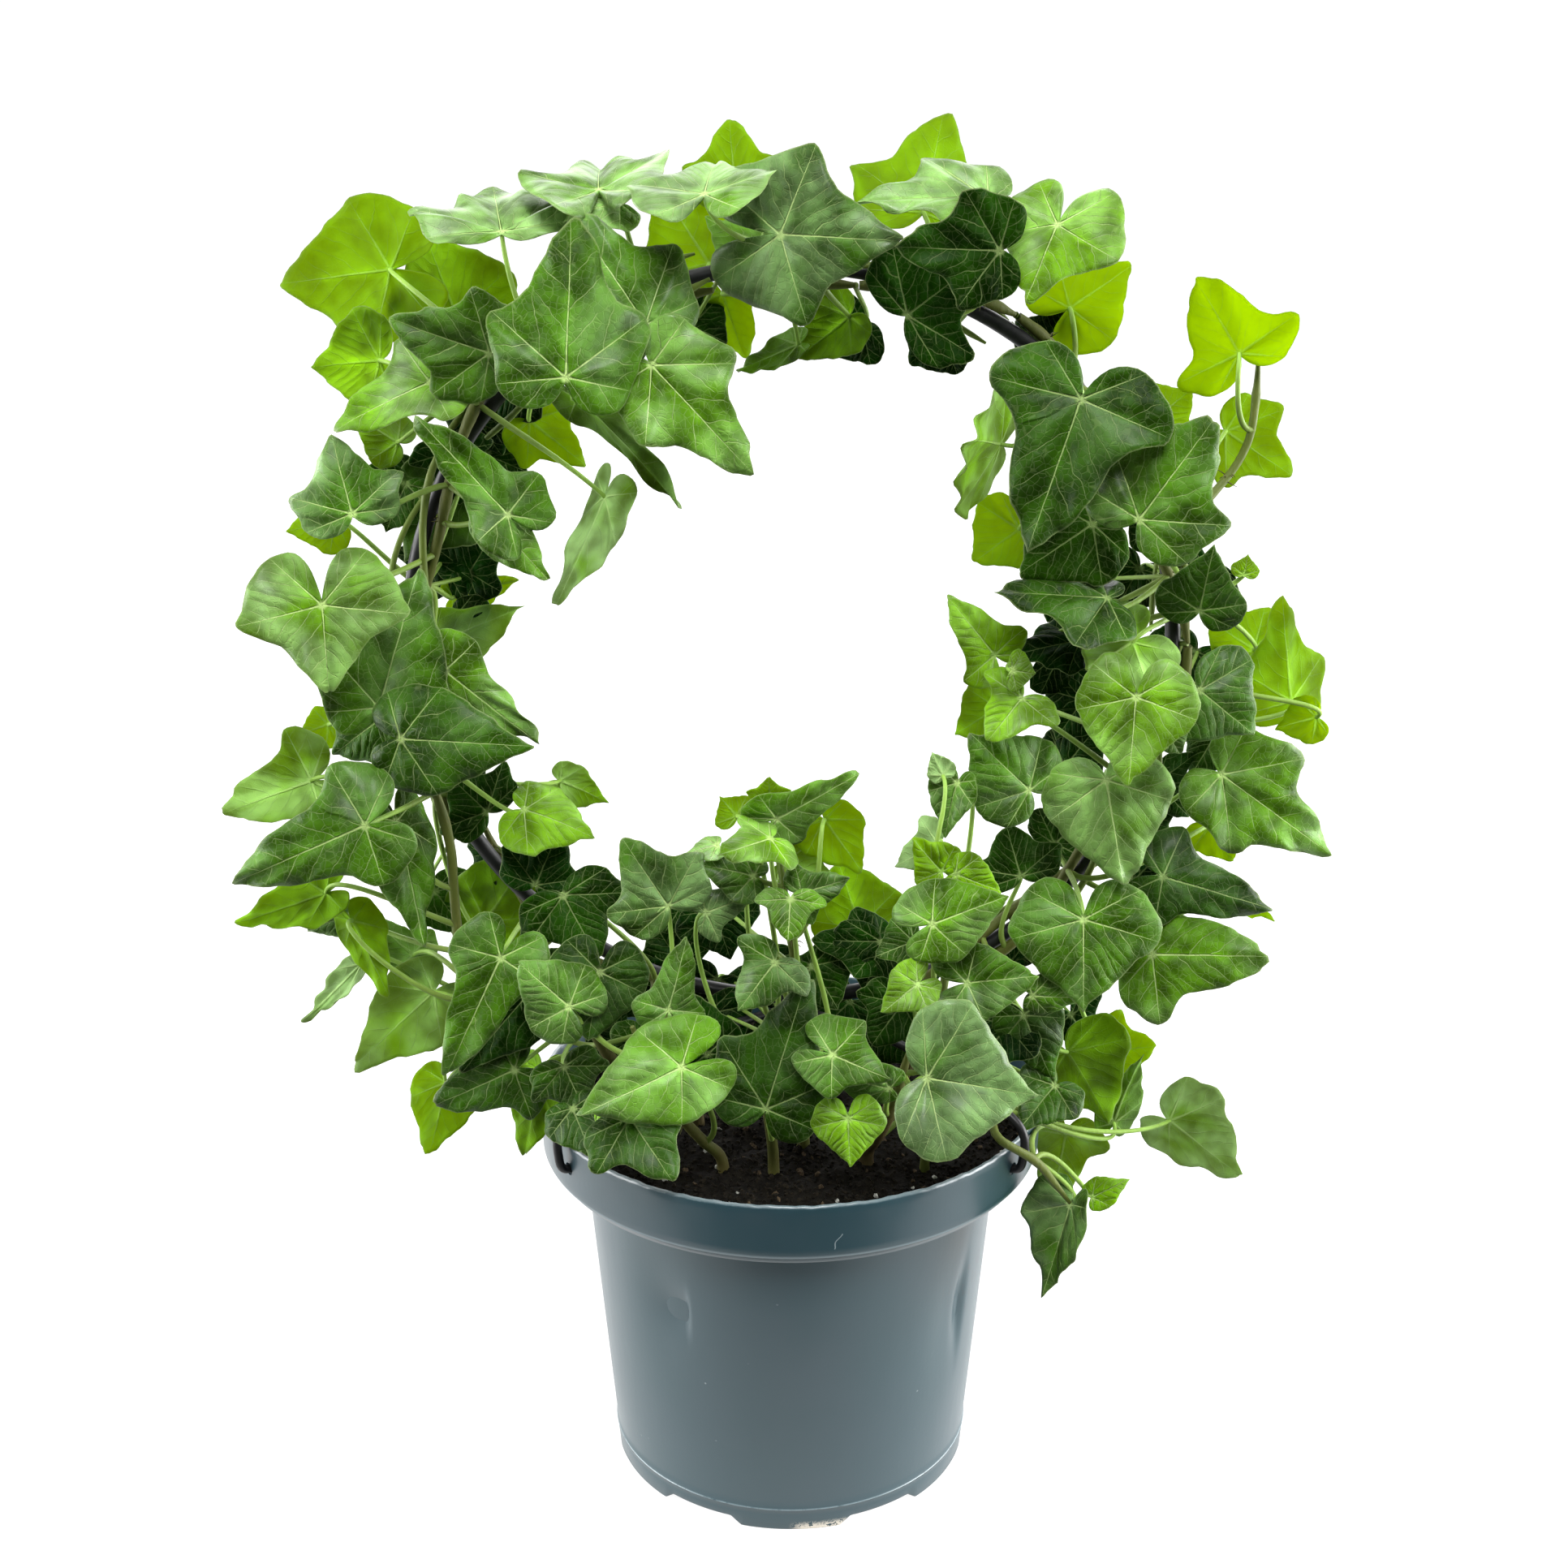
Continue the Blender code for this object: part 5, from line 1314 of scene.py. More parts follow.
@dataclass
class PottingMix:
    """Potting mix that fills the pot: an uneven top with crumbs, perlite and bark bits."""

    rim_radius: float = 0.076
    top_radius: float = 0.0729
    floor: float = 0.0051
    edge: float = 0.1085
    crown: float = 0.1135
    bump: float = 0.0011
    across: float = 210.0
    down: float = 260.0
    slant: float = 410.0
    crumble: float = 0.0007
    skirt: tuple[tuple[float, float], ...] = ((0.0729, 0.1080), (0.0605, 0.1035), (0.0525, 0.0051))
    bed_edge: float = 0.0012
    around: int = 120
    rows: int = 34
    grains: tuple[Grain, ...] = (
        Grain("peat_crumbs", (0.0045, 0.0038, 0.0026), (0.030, 0.024, 0.015), 0.4, 500.0, 0.85,
              260000.0, 0.00095, 0.65, 3, 1),
        Grain("perlite_grit", (0.20, 0.20, 0.18), (0.42, 0.42, 0.38), 0.6, 800.0, 0.85,
              3600.0, 0.0011, 0.70, 11, 2),
        Grain("bark_chips", (0.028, 0.020, 0.012), (0.085, 0.062, 0.036), 0.6, 600.0))

    def height(self, x: float, y: float) -> float:
        """Uneven top of the mix, highest in the middle of the pot."""
        reach = min(1.0, math.hypot(x, y) / self.rim_radius)
        lump = math.sin(x * self.across + 1.0) * math.cos(y * self.down)
        lump += 0.5 * math.sin((x - y) * self.slant)
        return self.crown + (self.edge - self.crown) * reach ** 2 + self.bump * lump * (1.0 - reach)

    def top(self) -> tuple[list[Vector], list[tuple[int, ...]]]:
        """Points and faces of the top surface, from the rim inwards."""
        points = []
        for row in range(self.rows):
            radius = self.top_radius * (1.0 - row / self.rows)
            for step in range(self.around):
                turn = math.tau * step / self.around
                x, y = radius * math.cos(turn), radius * math.sin(turn)
                lump = self.crumble * math.sin(x * 1900 + 2.0 * math.sin(y * 1300)) * math.sin(y * 1700 + 1.0)
                points.append(Vector((x, y, self.height(x, y) + lump * (radius < self.top_radius * 0.97))))
        points.append(Vector((0.0, 0.0, self.height(0.0, 0.0))))
        faces = ring_faces(self.rows, self.around)
        faces += fan_faces((self.rows - 1) * self.around, self.around, len(points) - 1)
        return points, faces

    def build(self) -> list[Piece]:
        """Build the mix and what lies on it.

        Returns:
            The block, the crumbs, the perlite and the bark bits.
        """
        mix = SpeckledFinish("potting_mix_damp", (0.0030, 0.0026, 0.0018), (0.018, 0.015, 0.010)).build()
        points, faces = self.top()
        first = len(points)
        for radius, height in self.skirt:
            for step in range(self.around):
                points.append(spoke(math.tau * step / self.around, radius, height))
        points.append(Vector((0.0, 0.0, self.floor)))
        side = [tuple(first + corner for corner in quad) for quad in ring_faces(3, self.around)]
        faces += [tuple(reversed(quad)) for quad in side]
        for step in range(self.around):
            after = (step + 1) % self.around
            faces.append((after, step, first + step, first + after))
            low = first + 2 * self.around
            faces.append((low + after, low + step, len(points) - 1))
        block = plain_mesh("potting_mix", points, faces)
        block.data.materials.append(mix)
        self.outwards(block)
        made = [block, *[self.scatter(grain) for grain in self.grains]]
        for piece in made:
            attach(piece, "root")
            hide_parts("potting_soil")
        return made

    @staticmethod
    def outwards(piece: Piece) -> None:
        """Make a closed shell's faces point outwards."""
        work = bmesh.new()
        work.from_mesh(piece.data)
        bmesh.ops.recalc_face_normals(work, faces=work.faces)
        work.to_mesh(piece.data)
        work.free()

    def scatter(self, grain: Grain) -> Piece:
        """Scatter grains over the top with Geometry Nodes.

        Args:
            grain: Kind of grain.

        Returns:
            The grains as one plain mesh.
        """
        values = {"Density": grain.density, "Grain Radius": grain.size, "Seed": grain.seed}
        kit = NodeKit(grain.name + "_scatter", {
            **{label: ("Int" if label == "Seed" else "Float", value) for label, value in values.items()},
            "Finish": ("Material", None)})
        spots = kit.node("GeometryNodeDistributePointsOnFaces", {"distribute_method": "RANDOM"},
                         {"Mesh": "in:Geometry", "Density": "in:Density", "Seed": "in:Seed"})
        ball = kit.node("GeometryNodeMeshIcoSphere", None,
                        {"Radius": "in:Grain Radius", "Subdivisions": grain.detail})
        turn = kit.node("FunctionNodeRandomValue", {"data_type": "FLOAT_VECTOR"},
                        {0: (0.0,) * 3, 1: (math.tau,) * 3, "Seed": "in:Seed"})
        scale = kit.node("FunctionNodeRandomValue", {"data_type": "FLOAT_VECTOR"},
                         {0: (1.0 - grain.spread,) * 3, 1: (1.0,) * 3, "Seed": grain.seed + 1})
        placed = kit.node("GeometryNodeInstanceOnPoints", None,
                          {"Points": spots, "Instance": ball, "Rotation": turn, "Scale": scale})
        real = kit.node("GeometryNodeRealizeInstances", None, {"Geometry": placed})
        noise = kit.node("ShaderNodeTexNoise", None, {"Scale": 900.0, "Detail": 1.0})
        lift = kit.node("ShaderNodeVectorMath", {"operation": "SUBTRACT"},
                        {0: noise.outputs["Color"], 1: (0.5, 0.5, 0.5)})
        lift = kit.node("ShaderNodeVectorMath", {"operation": "SCALE"}, {0: lift, "Scale": grain.size * 1.3})
        kit.close(kit.node("GeometryNodeSetPosition", None, {"Geometry": real, "Offset": lift}))
        points, faces = self.top()
        keep = [face for face in faces
                if all(math.hypot(*points[corner].xy) < self.top_radius - self.bed_edge for corner in face)]
        mesh = bpy.data.meshes.new(grain.name + ".bed")
        mesh.from_pydata([tuple(point) for point in points], [], keep)
        return kit.grow(grain.name, mesh, {**values, "Finish": grain.build()})


@dataclass
class NurseryPot:
    """Thin nursery pot: deep rim band on a ledge, line above the foot, six feet, dents and a worn lip."""

    rim_radius: float = 0.076
    rim_top: float = 0.123
    band_height: float = 0.017
    band_taper: float = 0.0008
    body_top_radius: float = 0.0629
    base_radius: float = 0.0548
    wall: float = 0.0015
    lip: float = 0.0008
    ledge_drop: float = 0.0028
    ledge_rise: float = 0.0004
    ledge_overhang: float = 0.0022
    rounding: float = 0.0006
    lip_rounding: float = 0.0003
    floor_under: float = 0.0032
    foot_ring: float = 0.0048
    bead_height: float = 0.0074
    bead_proud: float = 0.0005
    arch_width: float = 0.024
    arch_count: int = 6
    arch_crown: float = 0.0004
    arch_slant: float = 0.0035
    drain_radius: float = 0.0045
    drain_circle: float = 0.036
    clip_height: float = 0.1146
    clip_radius: float = 0.00195
    clip_angles: tuple[float, ...] = (-148.0, -32.0, 90.0)
    dents: tuple[tuple[float, ...], ...] = (
        (-128.0, 0.074, 9.0, 9.0, 0.017, 0.0010), (-120.6, 0.0733, 8.0, 0.9, 0.0060, 0.0016),
        (-31.0, 0.063, 3.4, 1.6, 0.013, 0.0015), (-38.0, 0.064, 8.0, 8.0, 0.020, 0.0006))
    around: int = 432
    body_rows: int = 40
    drill_sides: int = 24
    drill_spare: float = 0.002
    clip_reach: float = 0.0045
    sharp_angle: float = 42.0
    nibble: tuple[float, float] = (0.00018, 0.00010)

    def profile(self) -> list[tuple[float, float]]:
        """Half section from the underside out over the rim to the floor inside."""
        rim, base, top, wall = self.rim_radius, self.base_radius, self.body_top_radius, self.wall
        under, drain, bead, soft = self.floor_under, self.drain_circle, self.bead_height, self.rounding
        crest, band_low = self.rim_top, self.rim_top - self.band_height
        band, high = rim - self.band_taper, band_low - self.ledge_drop
        floor, foot = under + wall, base - self.foot_ring
        low = (base + 0.0002, bead + 0.0006)
        body = [(base + self.bead_proud, bead), (base + self.bead_proud * 0.5, bead + 0.0004)]
        for share in (step / self.body_rows for step in range(1, self.body_rows)):
            body.append((low[0] + (top - low[0]) * share, low[1] + (high - 0.0012 - low[1]) * share))
        return [
            (drain - 0.012, under), (drain + 0.010, under), (foot - 0.0004, under), (foot, under - 0.0003),
            (foot, 0.0003), (foot + 0.0003, 0.0), (base - soft, 0.0), (base - 0.0002, 0.00018), (base, soft),
            (base, bead - 0.0022), (base, bead - soft), *body,
            (top, high - 0.0004), (top + 0.0007, high), (band - self.ledge_overhang, high + self.ledge_rise),
            (band - soft - 0.0005, band_low - 0.0004), (band - soft * 0.4, band_low), (band, band_low + soft),
            (band + 0.0001, band_low + 0.003), (band + 0.0004, band_low + 0.009),
            (rim - 0.0001, crest - 0.003), (rim, crest - self.lip), (rim - 0.0001, crest - 0.0003),
            (rim - self.lip_rounding - 0.0001, crest), (rim - wall + self.lip_rounding, crest),
            (rim - wall - 0.0001, crest - 0.0005), (rim - wall - 0.0004, crest - 0.006),
            (band - wall, band_low + wall), (top - wall, high + wall), (base - wall, floor + 0.001),
            (base - wall - 0.001, floor), (drain + 0.010, floor), (drain - 0.012, floor),
        ]

    def dented(self, turn: float, radius: float, height: float) -> float:
        """Radius after the knocks in the wall.

        Args:
            turn: Angle round the pot.
            radius: Radius before.
            height: Height of the point.

        Returns:
            The radius.
        """
        for angle, middle, before, behind, tall, deep in self.dents:
            swing = (math.degrees(turn) - angle + 180.0) % 360.0 - 180.0
            wide = before if swing < 0.0 else behind
            radius -= deep * math.exp(-(swing / wide) ** 2 - ((height - middle) / tall) ** 2)
        return radius

    def lift(self, turn: float) -> float:
        """Height of the foot's underside, raised over the arches."""
        sector = math.tau / self.arch_count
        away = abs((turn + sector / 2) % sector - sector / 2) * self.base_radius
        edge = (self.arch_width / 2 - away) / self.arch_slant + 0.5
        share = min(1.0, max(0.0, edge))
        return (self.floor_under - self.arch_crown) * share

    def build(self) -> Piece:
        """Build the pot.

        Returns:
            The pot's piece.
        """
        profile = self.profile()
        band_low = self.rim_top - self.band_height
        outer_end = next(index for index, (radius, _) in enumerate(profile)
                         if radius == self.rim_radius) + 3
        points = []
        for index, (radius, height) in enumerate(profile):
            for step in range(self.around):
                turn = math.tau * step / self.around
                reach, rise = radius, height
                if 0.012 < height < band_low - 0.003 and index < outer_end:
                    reach = self.dented(turn, radius, height)
                if height < self.floor_under - 0.0004:
                    rise = height + max(0.0, self.lift(turn) - height * 0.3) * (height < 0.0026)
                if height > self.rim_top - 0.001:
                    wave = math.sin(turn * 41) * math.sin(turn * 17 + 1.0) + 0.6 * math.sin(turn * 97 + 2.0)
                    rise -= self.nibble[0] * (1.0 + wave * 0.8)
                    reach += self.nibble[1] * math.sin(turn * 29 + 0.5)
                points.append(spoke(turn, reach, rise))
        rows = len(profile)
        faces = ring_faces(rows, self.around)
        for row, height in ((0, self.floor_under), (rows - 1, self.floor_under + self.wall)):
            points.append(Vector((0.0, 0.0, height)))
            faces += fan_faces(row * self.around, self.around, len(points) - 1, row == 0)
        pot = plain_mesh("nursery_pot", points, faces)
        PottingMix.outwards(pot)
        self.drill(pot)
        pot.data.set_sharp_from_angle(angle=math.radians(self.sharp_angle))
        pot.data.materials.append(PlasticFinish().build(self.rim_top, band_low, self.bead_height))
        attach(pot, "root")
        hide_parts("pot")
        return pot

    def drill(self, pot: Piece) -> None:
        """Cut the drain holes and the clip holes."""
        group = bpy.data.collections.new("drills")
        bpy.context.scene.collection.children.link(group)
        ends = []
        for index in range(self.arch_count):
            turn = math.tau * (index + 0.5) / self.arch_count
            ends.append((spoke(turn, self.drain_circle, self.floor_under - self.drill_spare),
                         spoke(turn, self.drain_circle, self.floor_under + self.wall + self.drill_spare),
                         self.drain_radius))
        for angle in self.clip_angles:
            outward = spoke(math.radians(angle), 1.0, 0.0)
            level = Vector((0.0, 0.0, self.clip_height))
            ends.append((outward * (self.rim_radius - self.clip_reach) + level,
                         outward * (self.rim_radius + self.clip_reach) + level, self.clip_radius))
        sides = self.drill_sides
        for low, high, radius in ends:
            along = (high - low).normalized()
            side = along.orthogonal().normalized()
            other = along.cross(side)
            turns = [math.tau * corner / sides for corner in range(sides)]
            rim = [(side * math.cos(turn) + other * math.sin(turn)) * radius for turn in turns]
            rows = [low + arm for arm in rim] + [high + arm for arm in rim]
            faces = ring_faces(2, sides) + [tuple(range(sides))[::-1], tuple(range(sides, 2 * sides))]
            cutter = plain_mesh("drill", rows, faces)
            bpy.context.scene.collection.objects.unlink(cutter)
            group.objects.link(cutter)
        step = pot.modifiers.new("drills", "BOOLEAN")
        step.operand_type = "COLLECTION"
        step.collection = group
        step.operation = "DIFFERENCE"
        step.solver = "EXACT"
        settle(pot)
        for cutter in list(group.objects):
            bpy.data.objects.remove(cutter)
        bpy.data.collections.remove(group)


@dataclass
class RingHoop:
    """Ring rod on a hub, carried by three arms that clip through the pot's band."""

    weaver: RodWeaver
    ring_radius: float = 0.108
    ring_height: float = 0.2585
    rod_radius: float = 0.0022
    ring_points: int = 180
    hub_radius: float = 0.0044
    hub_length: float = 0.012
    hub_drop: float = 0.0035
    arm_level: float = 0.030
    arm_radius: float = 0.0013
    arm_step: float = 0.0007
    arm_angles: tuple[float, ...] = (-148.0, -32.0, 90.0)
    clip_height: float = 0.1146
    clip_reach: float = 0.0045
    hook_out: float = 0.0786
    hook_radius: float = 0.0038
    rim_radius: float = 0.076
    shoulder: tuple[float, float] = (0.058, 0.1392)
    elbow: tuple[float, float] = (0.005, 0.0170)
    bend: float = 0.0116
    stem_radius: float = 0.0016
    stem_gap: float = 0.00065
    wind_turns: float = 6.0
    wind_step: float = 5.5

    def point(self, theta: float) -> Vector:
        """Point of the ring's centre line, theta degrees clockwise from the top."""
        turn = math.radians(theta)
        return Vector((self.ring_radius * math.sin(turn), 0.0,
                       self.ring_height + self.ring_radius * math.cos(turn)))

    def build(self) -> Piece:
        """Build the hoop.

        Returns:
            The hoop's piece.
        """
        finish = RodFinish().build()
        count = self.ring_points
        ring = [self.point(360.0 * step / count) for step in range(count)]
        paths = [RodPath(ring, [self.rod_radius] * count, [0.0] * count, True)]
        base = self.point(180.0)
        cap = (0.0, 0.15, 0.85, 1.0)
        hub = [base + Vector((0.0, 0.0, (share - 0.5) * self.hub_length)) for share in cap]
        paths.append(RodPath(hub, [self.hub_radius * 0.86, self.hub_radius, self.hub_radius,
                                   self.hub_radius * 0.86], [0.0] * 4))
        reach = self.hook_out
        for angle in self.arm_angles:
            outward = spoke(math.radians(angle), 1.0, 0.0)
            stations = [
                (0.0, base.z - self.hub_drop), (self.arm_level, base.z - self.hub_drop - self.arm_radius),
                self.shoulder, (reach - self.elbow[0], self.clip_height + self.elbow[1]),
                (reach, self.clip_height + self.bend), (reach, self.clip_height + self.hook_radius),
                (reach - self.hook_radius / 3, self.clip_height + self.hook_radius / 6),
                (reach - self.hook_radius, self.clip_height),
                (self.rim_radius - self.clip_reach, self.clip_height),
            ]
            points = [outward * out + Vector((0.0, 0.0, high)) for out, high in stations]
            path = smooth_path(points, self.arm_step)
            paths.append(RodPath(path, [self.arm_radius] * len(path), [0.0] * len(path)))
        hoop = self.weaver.weave("ring_hoop_rods", paths, finish, 16)
        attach(hoop, "root")
        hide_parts("ring_hoop")
        return hoop

    def wound(self, start: float, end: float, phase: float, radius: float = stem_radius,
              loose: float = 1.0) -> Route:
        """Route round the rod from one clock angle of the ring to another.

        Args:
            start: First clock angle.
            end: Last clock angle.
            phase: Angle round the rod at the top of the ring.
            radius: Radius of the stem.
            loose: How far it lies from the rod, as a share of the closest fit.

        Returns:
            The route.
        """
        steps = max(2, round(abs(end - start) / self.wind_step))
        offset = (self.rod_radius + self.stem_radius + self.stem_gap) * loose
        route = []
        for step in range(steps + 1):
            theta = start + (end - start) * step / steps
            centre = self.point(theta)
            outward = (centre - Vector((0.0, 0.0, self.ring_height))).normalized()
            turn = math.radians(phase + theta * self.wind_turns)
            arm = outward * math.cos(turn) + Vector((0.0, math.sin(turn), 0.0))
            route.append((centre + arm * offset, radius))
        return route


FIVE, THREE, WIDE, HEART, CORDATE, YOUNG = Form
(INK, DEEP, DARK, GREEN, SHEEN, MID, LIGHT, SOFT, SILVER, FRESH, LIME, GLOWING, BACKLIT, DIM,
 SHADED, NIGHT, DUSK, PALE, GREY) = Tone

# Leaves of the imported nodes, in the order in which they were made. A row holds a leaf's form, joint,
# tip, width and tone, and its roll, face and fold where they aren't the usual ones.
OUTER_LEAVES: dict[str, list[tuple]] = {"vine_left_low": [
    (THREE, (450, 1017, -44), (284, 1089, -50), 36, GREEN),
    (THREE, (384, 962, -20), (275, 1003, -28), 31, PALE, 10, -1),
    (HEART, (488, 1012, -26), (529, 1167, -34), 23, GREEN, -25),
    (HEART, (402, 1100, -20), (292, 1142, -24), 21, DIM, 35, -1),
    (YOUNG, (430, 1128, -16), (378, 1144, -20), 11, SHEEN, 20),
    (THREE, (510, 1177, -8), (460, 1136, -2), 18, DUSK, 15, -1),
    (HEART, (434, 1134, -26), (483, 1226, -30), 16, DIM, 30, -1, 0.4),
    (YOUNG, (446, 1186, -10), (378, 1259, -14), 11, GREY, 50, -1),
    (HEART, (534, 1222, -14), (437, 1312, -22), 27, PALE, -12, -1),
], "vine_left_middle": [
    (HEART, (494, 910, -36), (650, 920, -42), 31, DARK, 4),
    (HEART, (467, 872, -28), (515, 700, -22), 35, GREEN, -6),
    (THREE, (549, 826, -26), (660, 918, -34), 25, MID, 24),
    (HEART, (466, 888, -14), (405, 932, -12), 25, DARK, 10),
    (FIVE, (600, 1000, -2), (552, 955, 4), 26, INK),
    (HEART, (646, 998, -14), (733, 1026, -18), 28, FRESH, -38),
    (HEART, (690, 962, 4), (748, 985, 6), 15, PALE, 20, -1),
    (HEART, (598, 1136, 6), (672, 1024, 2), 29, SHADED, 10, -1),
    (YOUNG, (405, 893, -2), (368, 905, -4), 13, BACKLIT, 10, -1),
], "vine_left_high": [
    (WIDE, (397, 746, -46), (405, 850, -58), 43, GREY, 4),
    (FIVE, (434, 633, -26), (407, 536, -20), 31, SHEEN, -10),
    (HEART, (413, 641, 4), (354, 655, 2), 19, BACKLIT, 10, -1),
    (THREE, (625, 634, -26), (514, 510, -32), 26, GREEN, 18, 1, 0.3),
    (HEART, (610, 640, -20), (672, 714, -28), 17, MID, 20),
    (HEART, (530, 798, 10), (643, 742, 15), 21, PALE, 24, -1),
    (YOUNG, (560, 735, 16), (637, 712, 20), 13, BACKLIT, 20, -1),
    (HEART, (566, 600, 12), (500, 690, 8), 32, NIGHT, 0, -1),
], "vine_upper_left": [
    (CORDATE, (481, 332, 26), (346, 350, 36), 41, BACKLIT, 0, -1),
    (HEART, (562, 390, 28), (522, 286, 34), 38, DIM, 8, -1),
    (HEART, (468, 444, 18), (386, 452, 20), 30, DIM, 0, -1),
    (THREE, (530, 472, -12), (411, 521, -24), 31, SOFT, 38),
    (FIVE, (603, 434, -18), (479, 396, -26), 31, GREEN, -18),
    (FIVE, (618, 287, 0), (606, 222, 34), 45, SILVER, 4),
    (FIVE, (652, 518, 12), (721, 573, 15), 22, BACKLIT, 0, -1),
    (HEART, (745, 612, -8), (692, 751, -14), 27, GREY, 62, -1),
    (HEART, (490, 545, 2), (438, 515, 4), 17, PALE, 20, -1),
], "vine_top_left": [
    (FIVE, (697, 465, -34), (705, 264, -26), 41, GREEN, 4),
    (FIVE, (795, 400, -18), (704, 259, -12), 37, GREEN, 6),
    (FIVE, (803, 450, -26), (931, 586, -36), 34, MID, -4),
    (WIDE, (738, 235, 8), (736, 188, 40), 42, LIGHT, -8, 1, 0.3),
    (YOUNG, (764, 252, 0), (697, 260, -14), 20, LIGHT, 60),
    (THREE, (712, 490, -10), (850, 615, -12), 20, DUSK, 46, -1),
], "vine_top_middle": [
    (FIVE, (906, 236, 30), (898, 147, 36), 29, BACKLIT, 8, -1),
    (WIDE, (868, 240, -10), (880, 190, 14), 38, SILVER, -10),
    (HEART, (874, 325, 22), (811, 228, 30), 37, BACKLIT, 0, -1),
    (HEART, (936, 298, 12), (872, 278, 22), 23, DUSK, 46, -1),
    (WIDE, (962, 289, -18), (1102, 296, -28), 42, SHEEN),
    (THREE, (890, 362, 14), (918, 440, 18), 24, BACKLIT, 10, -1),
    (HEART, (1046, 390, 10), (984, 444, 14), 20, SHADED, 16, -1),
    (YOUNG, (984, 424, 10), (907, 461, 14), 13, DUSK, 50, -1),
], "vine_top_right": [
    (FIVE, (1137, 262, 14), (1160, 148, 30), 40, BACKLIT, 4, -1),
    (FIVE, (1218, 246, -6), (1053, 238, -14), 34, LIGHT, 60),
    (WIDE, (1303, 278, -18), (1263, 369, -34), 37, SOFT, 6),
    (FIVE, (1232, 308, -14), (1102, 305, -18), 31, DEEP, -14),
    (FIVE, (1118, 388, -4), (1196, 330, 2), 38, INK),
], "vine_upper_right": [
    (CORDATE, (1318, 380, 12), (1390, 330, 22), 30, GLOWING, 0, -1),
    (THREE, (1332, 492, -36), (1265, 679, -46), 50, DARK, 4),
    (FIVE, (1404, 640, -42), (1496, 517, -42), 40, GREEN, -6),
    (HEART, (1233, 547, -2), (1178, 536, -36), 42, PALE, -8, -1, 0.1),
    (HEART, (1420, 520, 12), (1466, 480, 16), 24, BACKLIT, 10, -1),
    (HEART, (1346, 646, -14), (1256, 706, -20), 31, DEEP, 12),
], "vine_right_middle": [
    (HEART, (1478, 752, -16), (1496, 673, -20), 25, DARK),
    (FIVE, (1364, 738, -26), (1224, 727, -34), 34, DARK, 52),
    (HEART, (1256, 652, 8), (1200, 694, 4), 27, BACKLIT, 20, -1),
    (THREE, (1225, 807, -14), (1174, 741, -18), 23, FRESH, 10),
    (YOUNG, (1247, 826, -22), (1277, 830, -22), 12, FRESH),
    (WIDE, (1395, 791, -22), (1332, 831, -34), 33, PALE, 12, -1, 0.3),
    (YOUNG, (1330, 790, -14), (1252, 802, -18), 20, INK, 40),
    (HEART, (1545, 800, 10), (1490, 766, 16), 26, BACKLIT, 10, -1),
    (YOUNG, (1533, 708, -6), (1538, 684, -6), 8, LIME),
], "vine_right_low": [
    (THREE, (1259, 861, -18), (1217, 911, -26), 24, FRESH, 8),
    (HEART, (1228, 872, 8), (1176, 906, 4), 21, DIM, 0, -1),
    (CORDATE, (1400, 859, -46), (1391, 967, -56), 32, SOFT),
    (HEART, (1363, 961, -36), (1385, 1094, -46), 35, LIGHT),
    (HEART, (1478, 850, -24), (1546, 906, -26), 31, DARK),
    (FIVE, (1591, 864, 4), (1576, 735, 12), 30, BACKLIT, 30, -1, 0.35),
    (YOUNG, (1622, 884, -4), (1572, 898, -6), 15, GLOWING, 10, -1),
    (HEART, (1268, 973, -20), (1196, 904, -24), 28, GREEN, 4),
    (YOUNG, (1430, 890, -26), (1455, 931, -28), 14, GREEN),
], "vine_right_bottom": [
    (FIVE, (1505, 954, -14), (1647, 1057, -16), 35, MID, -4),
    (CORDATE, (1335, 1133, -42), (1335, 1244, -54), 40, GREEN),
    (THREE, (1420, 1176, -30), (1565, 1178, -36), 38, MID),
    (THREE, (1433, 1080, -22), (1570, 1121, -28), 29, DARK),
    (FIVE, (1258, 1079, -12), (1240, 1018, -8), 28, DEEP),
    (HEART, (1490, 1018, 4), (1520, 1062, 2), 18, BACKLIT, 10, -1),
    (YOUNG, (1478, 1110, -8), (1570, 1122, -12), 16, BACKLIT, 60, -1),
], "vine_left_rooted": [
    (THREE, (617, 1180, -46), (549, 1326, -58), 29, GREEN),
    (HEART, (650, 1226, -34), (566, 1320, -42), 22, DEEP, 20),
    (THREE, (634, 1318, -38), (534, 1364, -44), 30, DARK, -10),
    (HEART, (668, 1322, -12), (650, 1425, -18), 21, SHADED, 12, -1),
    (HEART, (550, 1334, -16), (531, 1423, -26), 22, BACKLIT, 20, -1),
    (FIVE, (694, 1103, -32), (735, 1179, -40), 33, DEEP),
    (FIVE, (695, 1313, -46), (722, 1372, -50), 24, DARK),
    (FIVE, (660, 1090, -16), (690, 1020, -12), 26, INK),
], "vine_right_rooted": [
    (HEART, (1315, 1296, -8), (1371, 1379, -16), 34, SHADED, 18, -1, 0.5),
    (FIVE, (1364, 1296, 10), (1424, 1288, 10), 25, BACKLIT, 10, -1),
    (HEART, (1300, 1338, -6), (1256, 1390, -10), 22, DARK, 20),
    (FIVE, (1080, 1168, -6), (1002, 1158, -10), 22, DEEP, 20),
    (HEART, (1060, 1144, 6), (1028, 1050, 10), 28, DIM, 0, -1),
    (HEART, (1262, 1250, -22), (1296, 1330, -26), 22, DARK),
], "shoot_upper_right": [
    (THREE, (1527, 436, 8), (1474, 342, 14), 37, GLOWING, -12, -1),
    (FIVE, (1510, 531, 14), (1588, 584, 18), 27, BACKLIT, 0, -1),
], "shoot_front_left": [
    (CORDATE, (840, 1315, -66), (717, 1374, -76), 29, MID),
    (FIVE, (776, 1377, -66), (827, 1453, -80), 32, DARK),
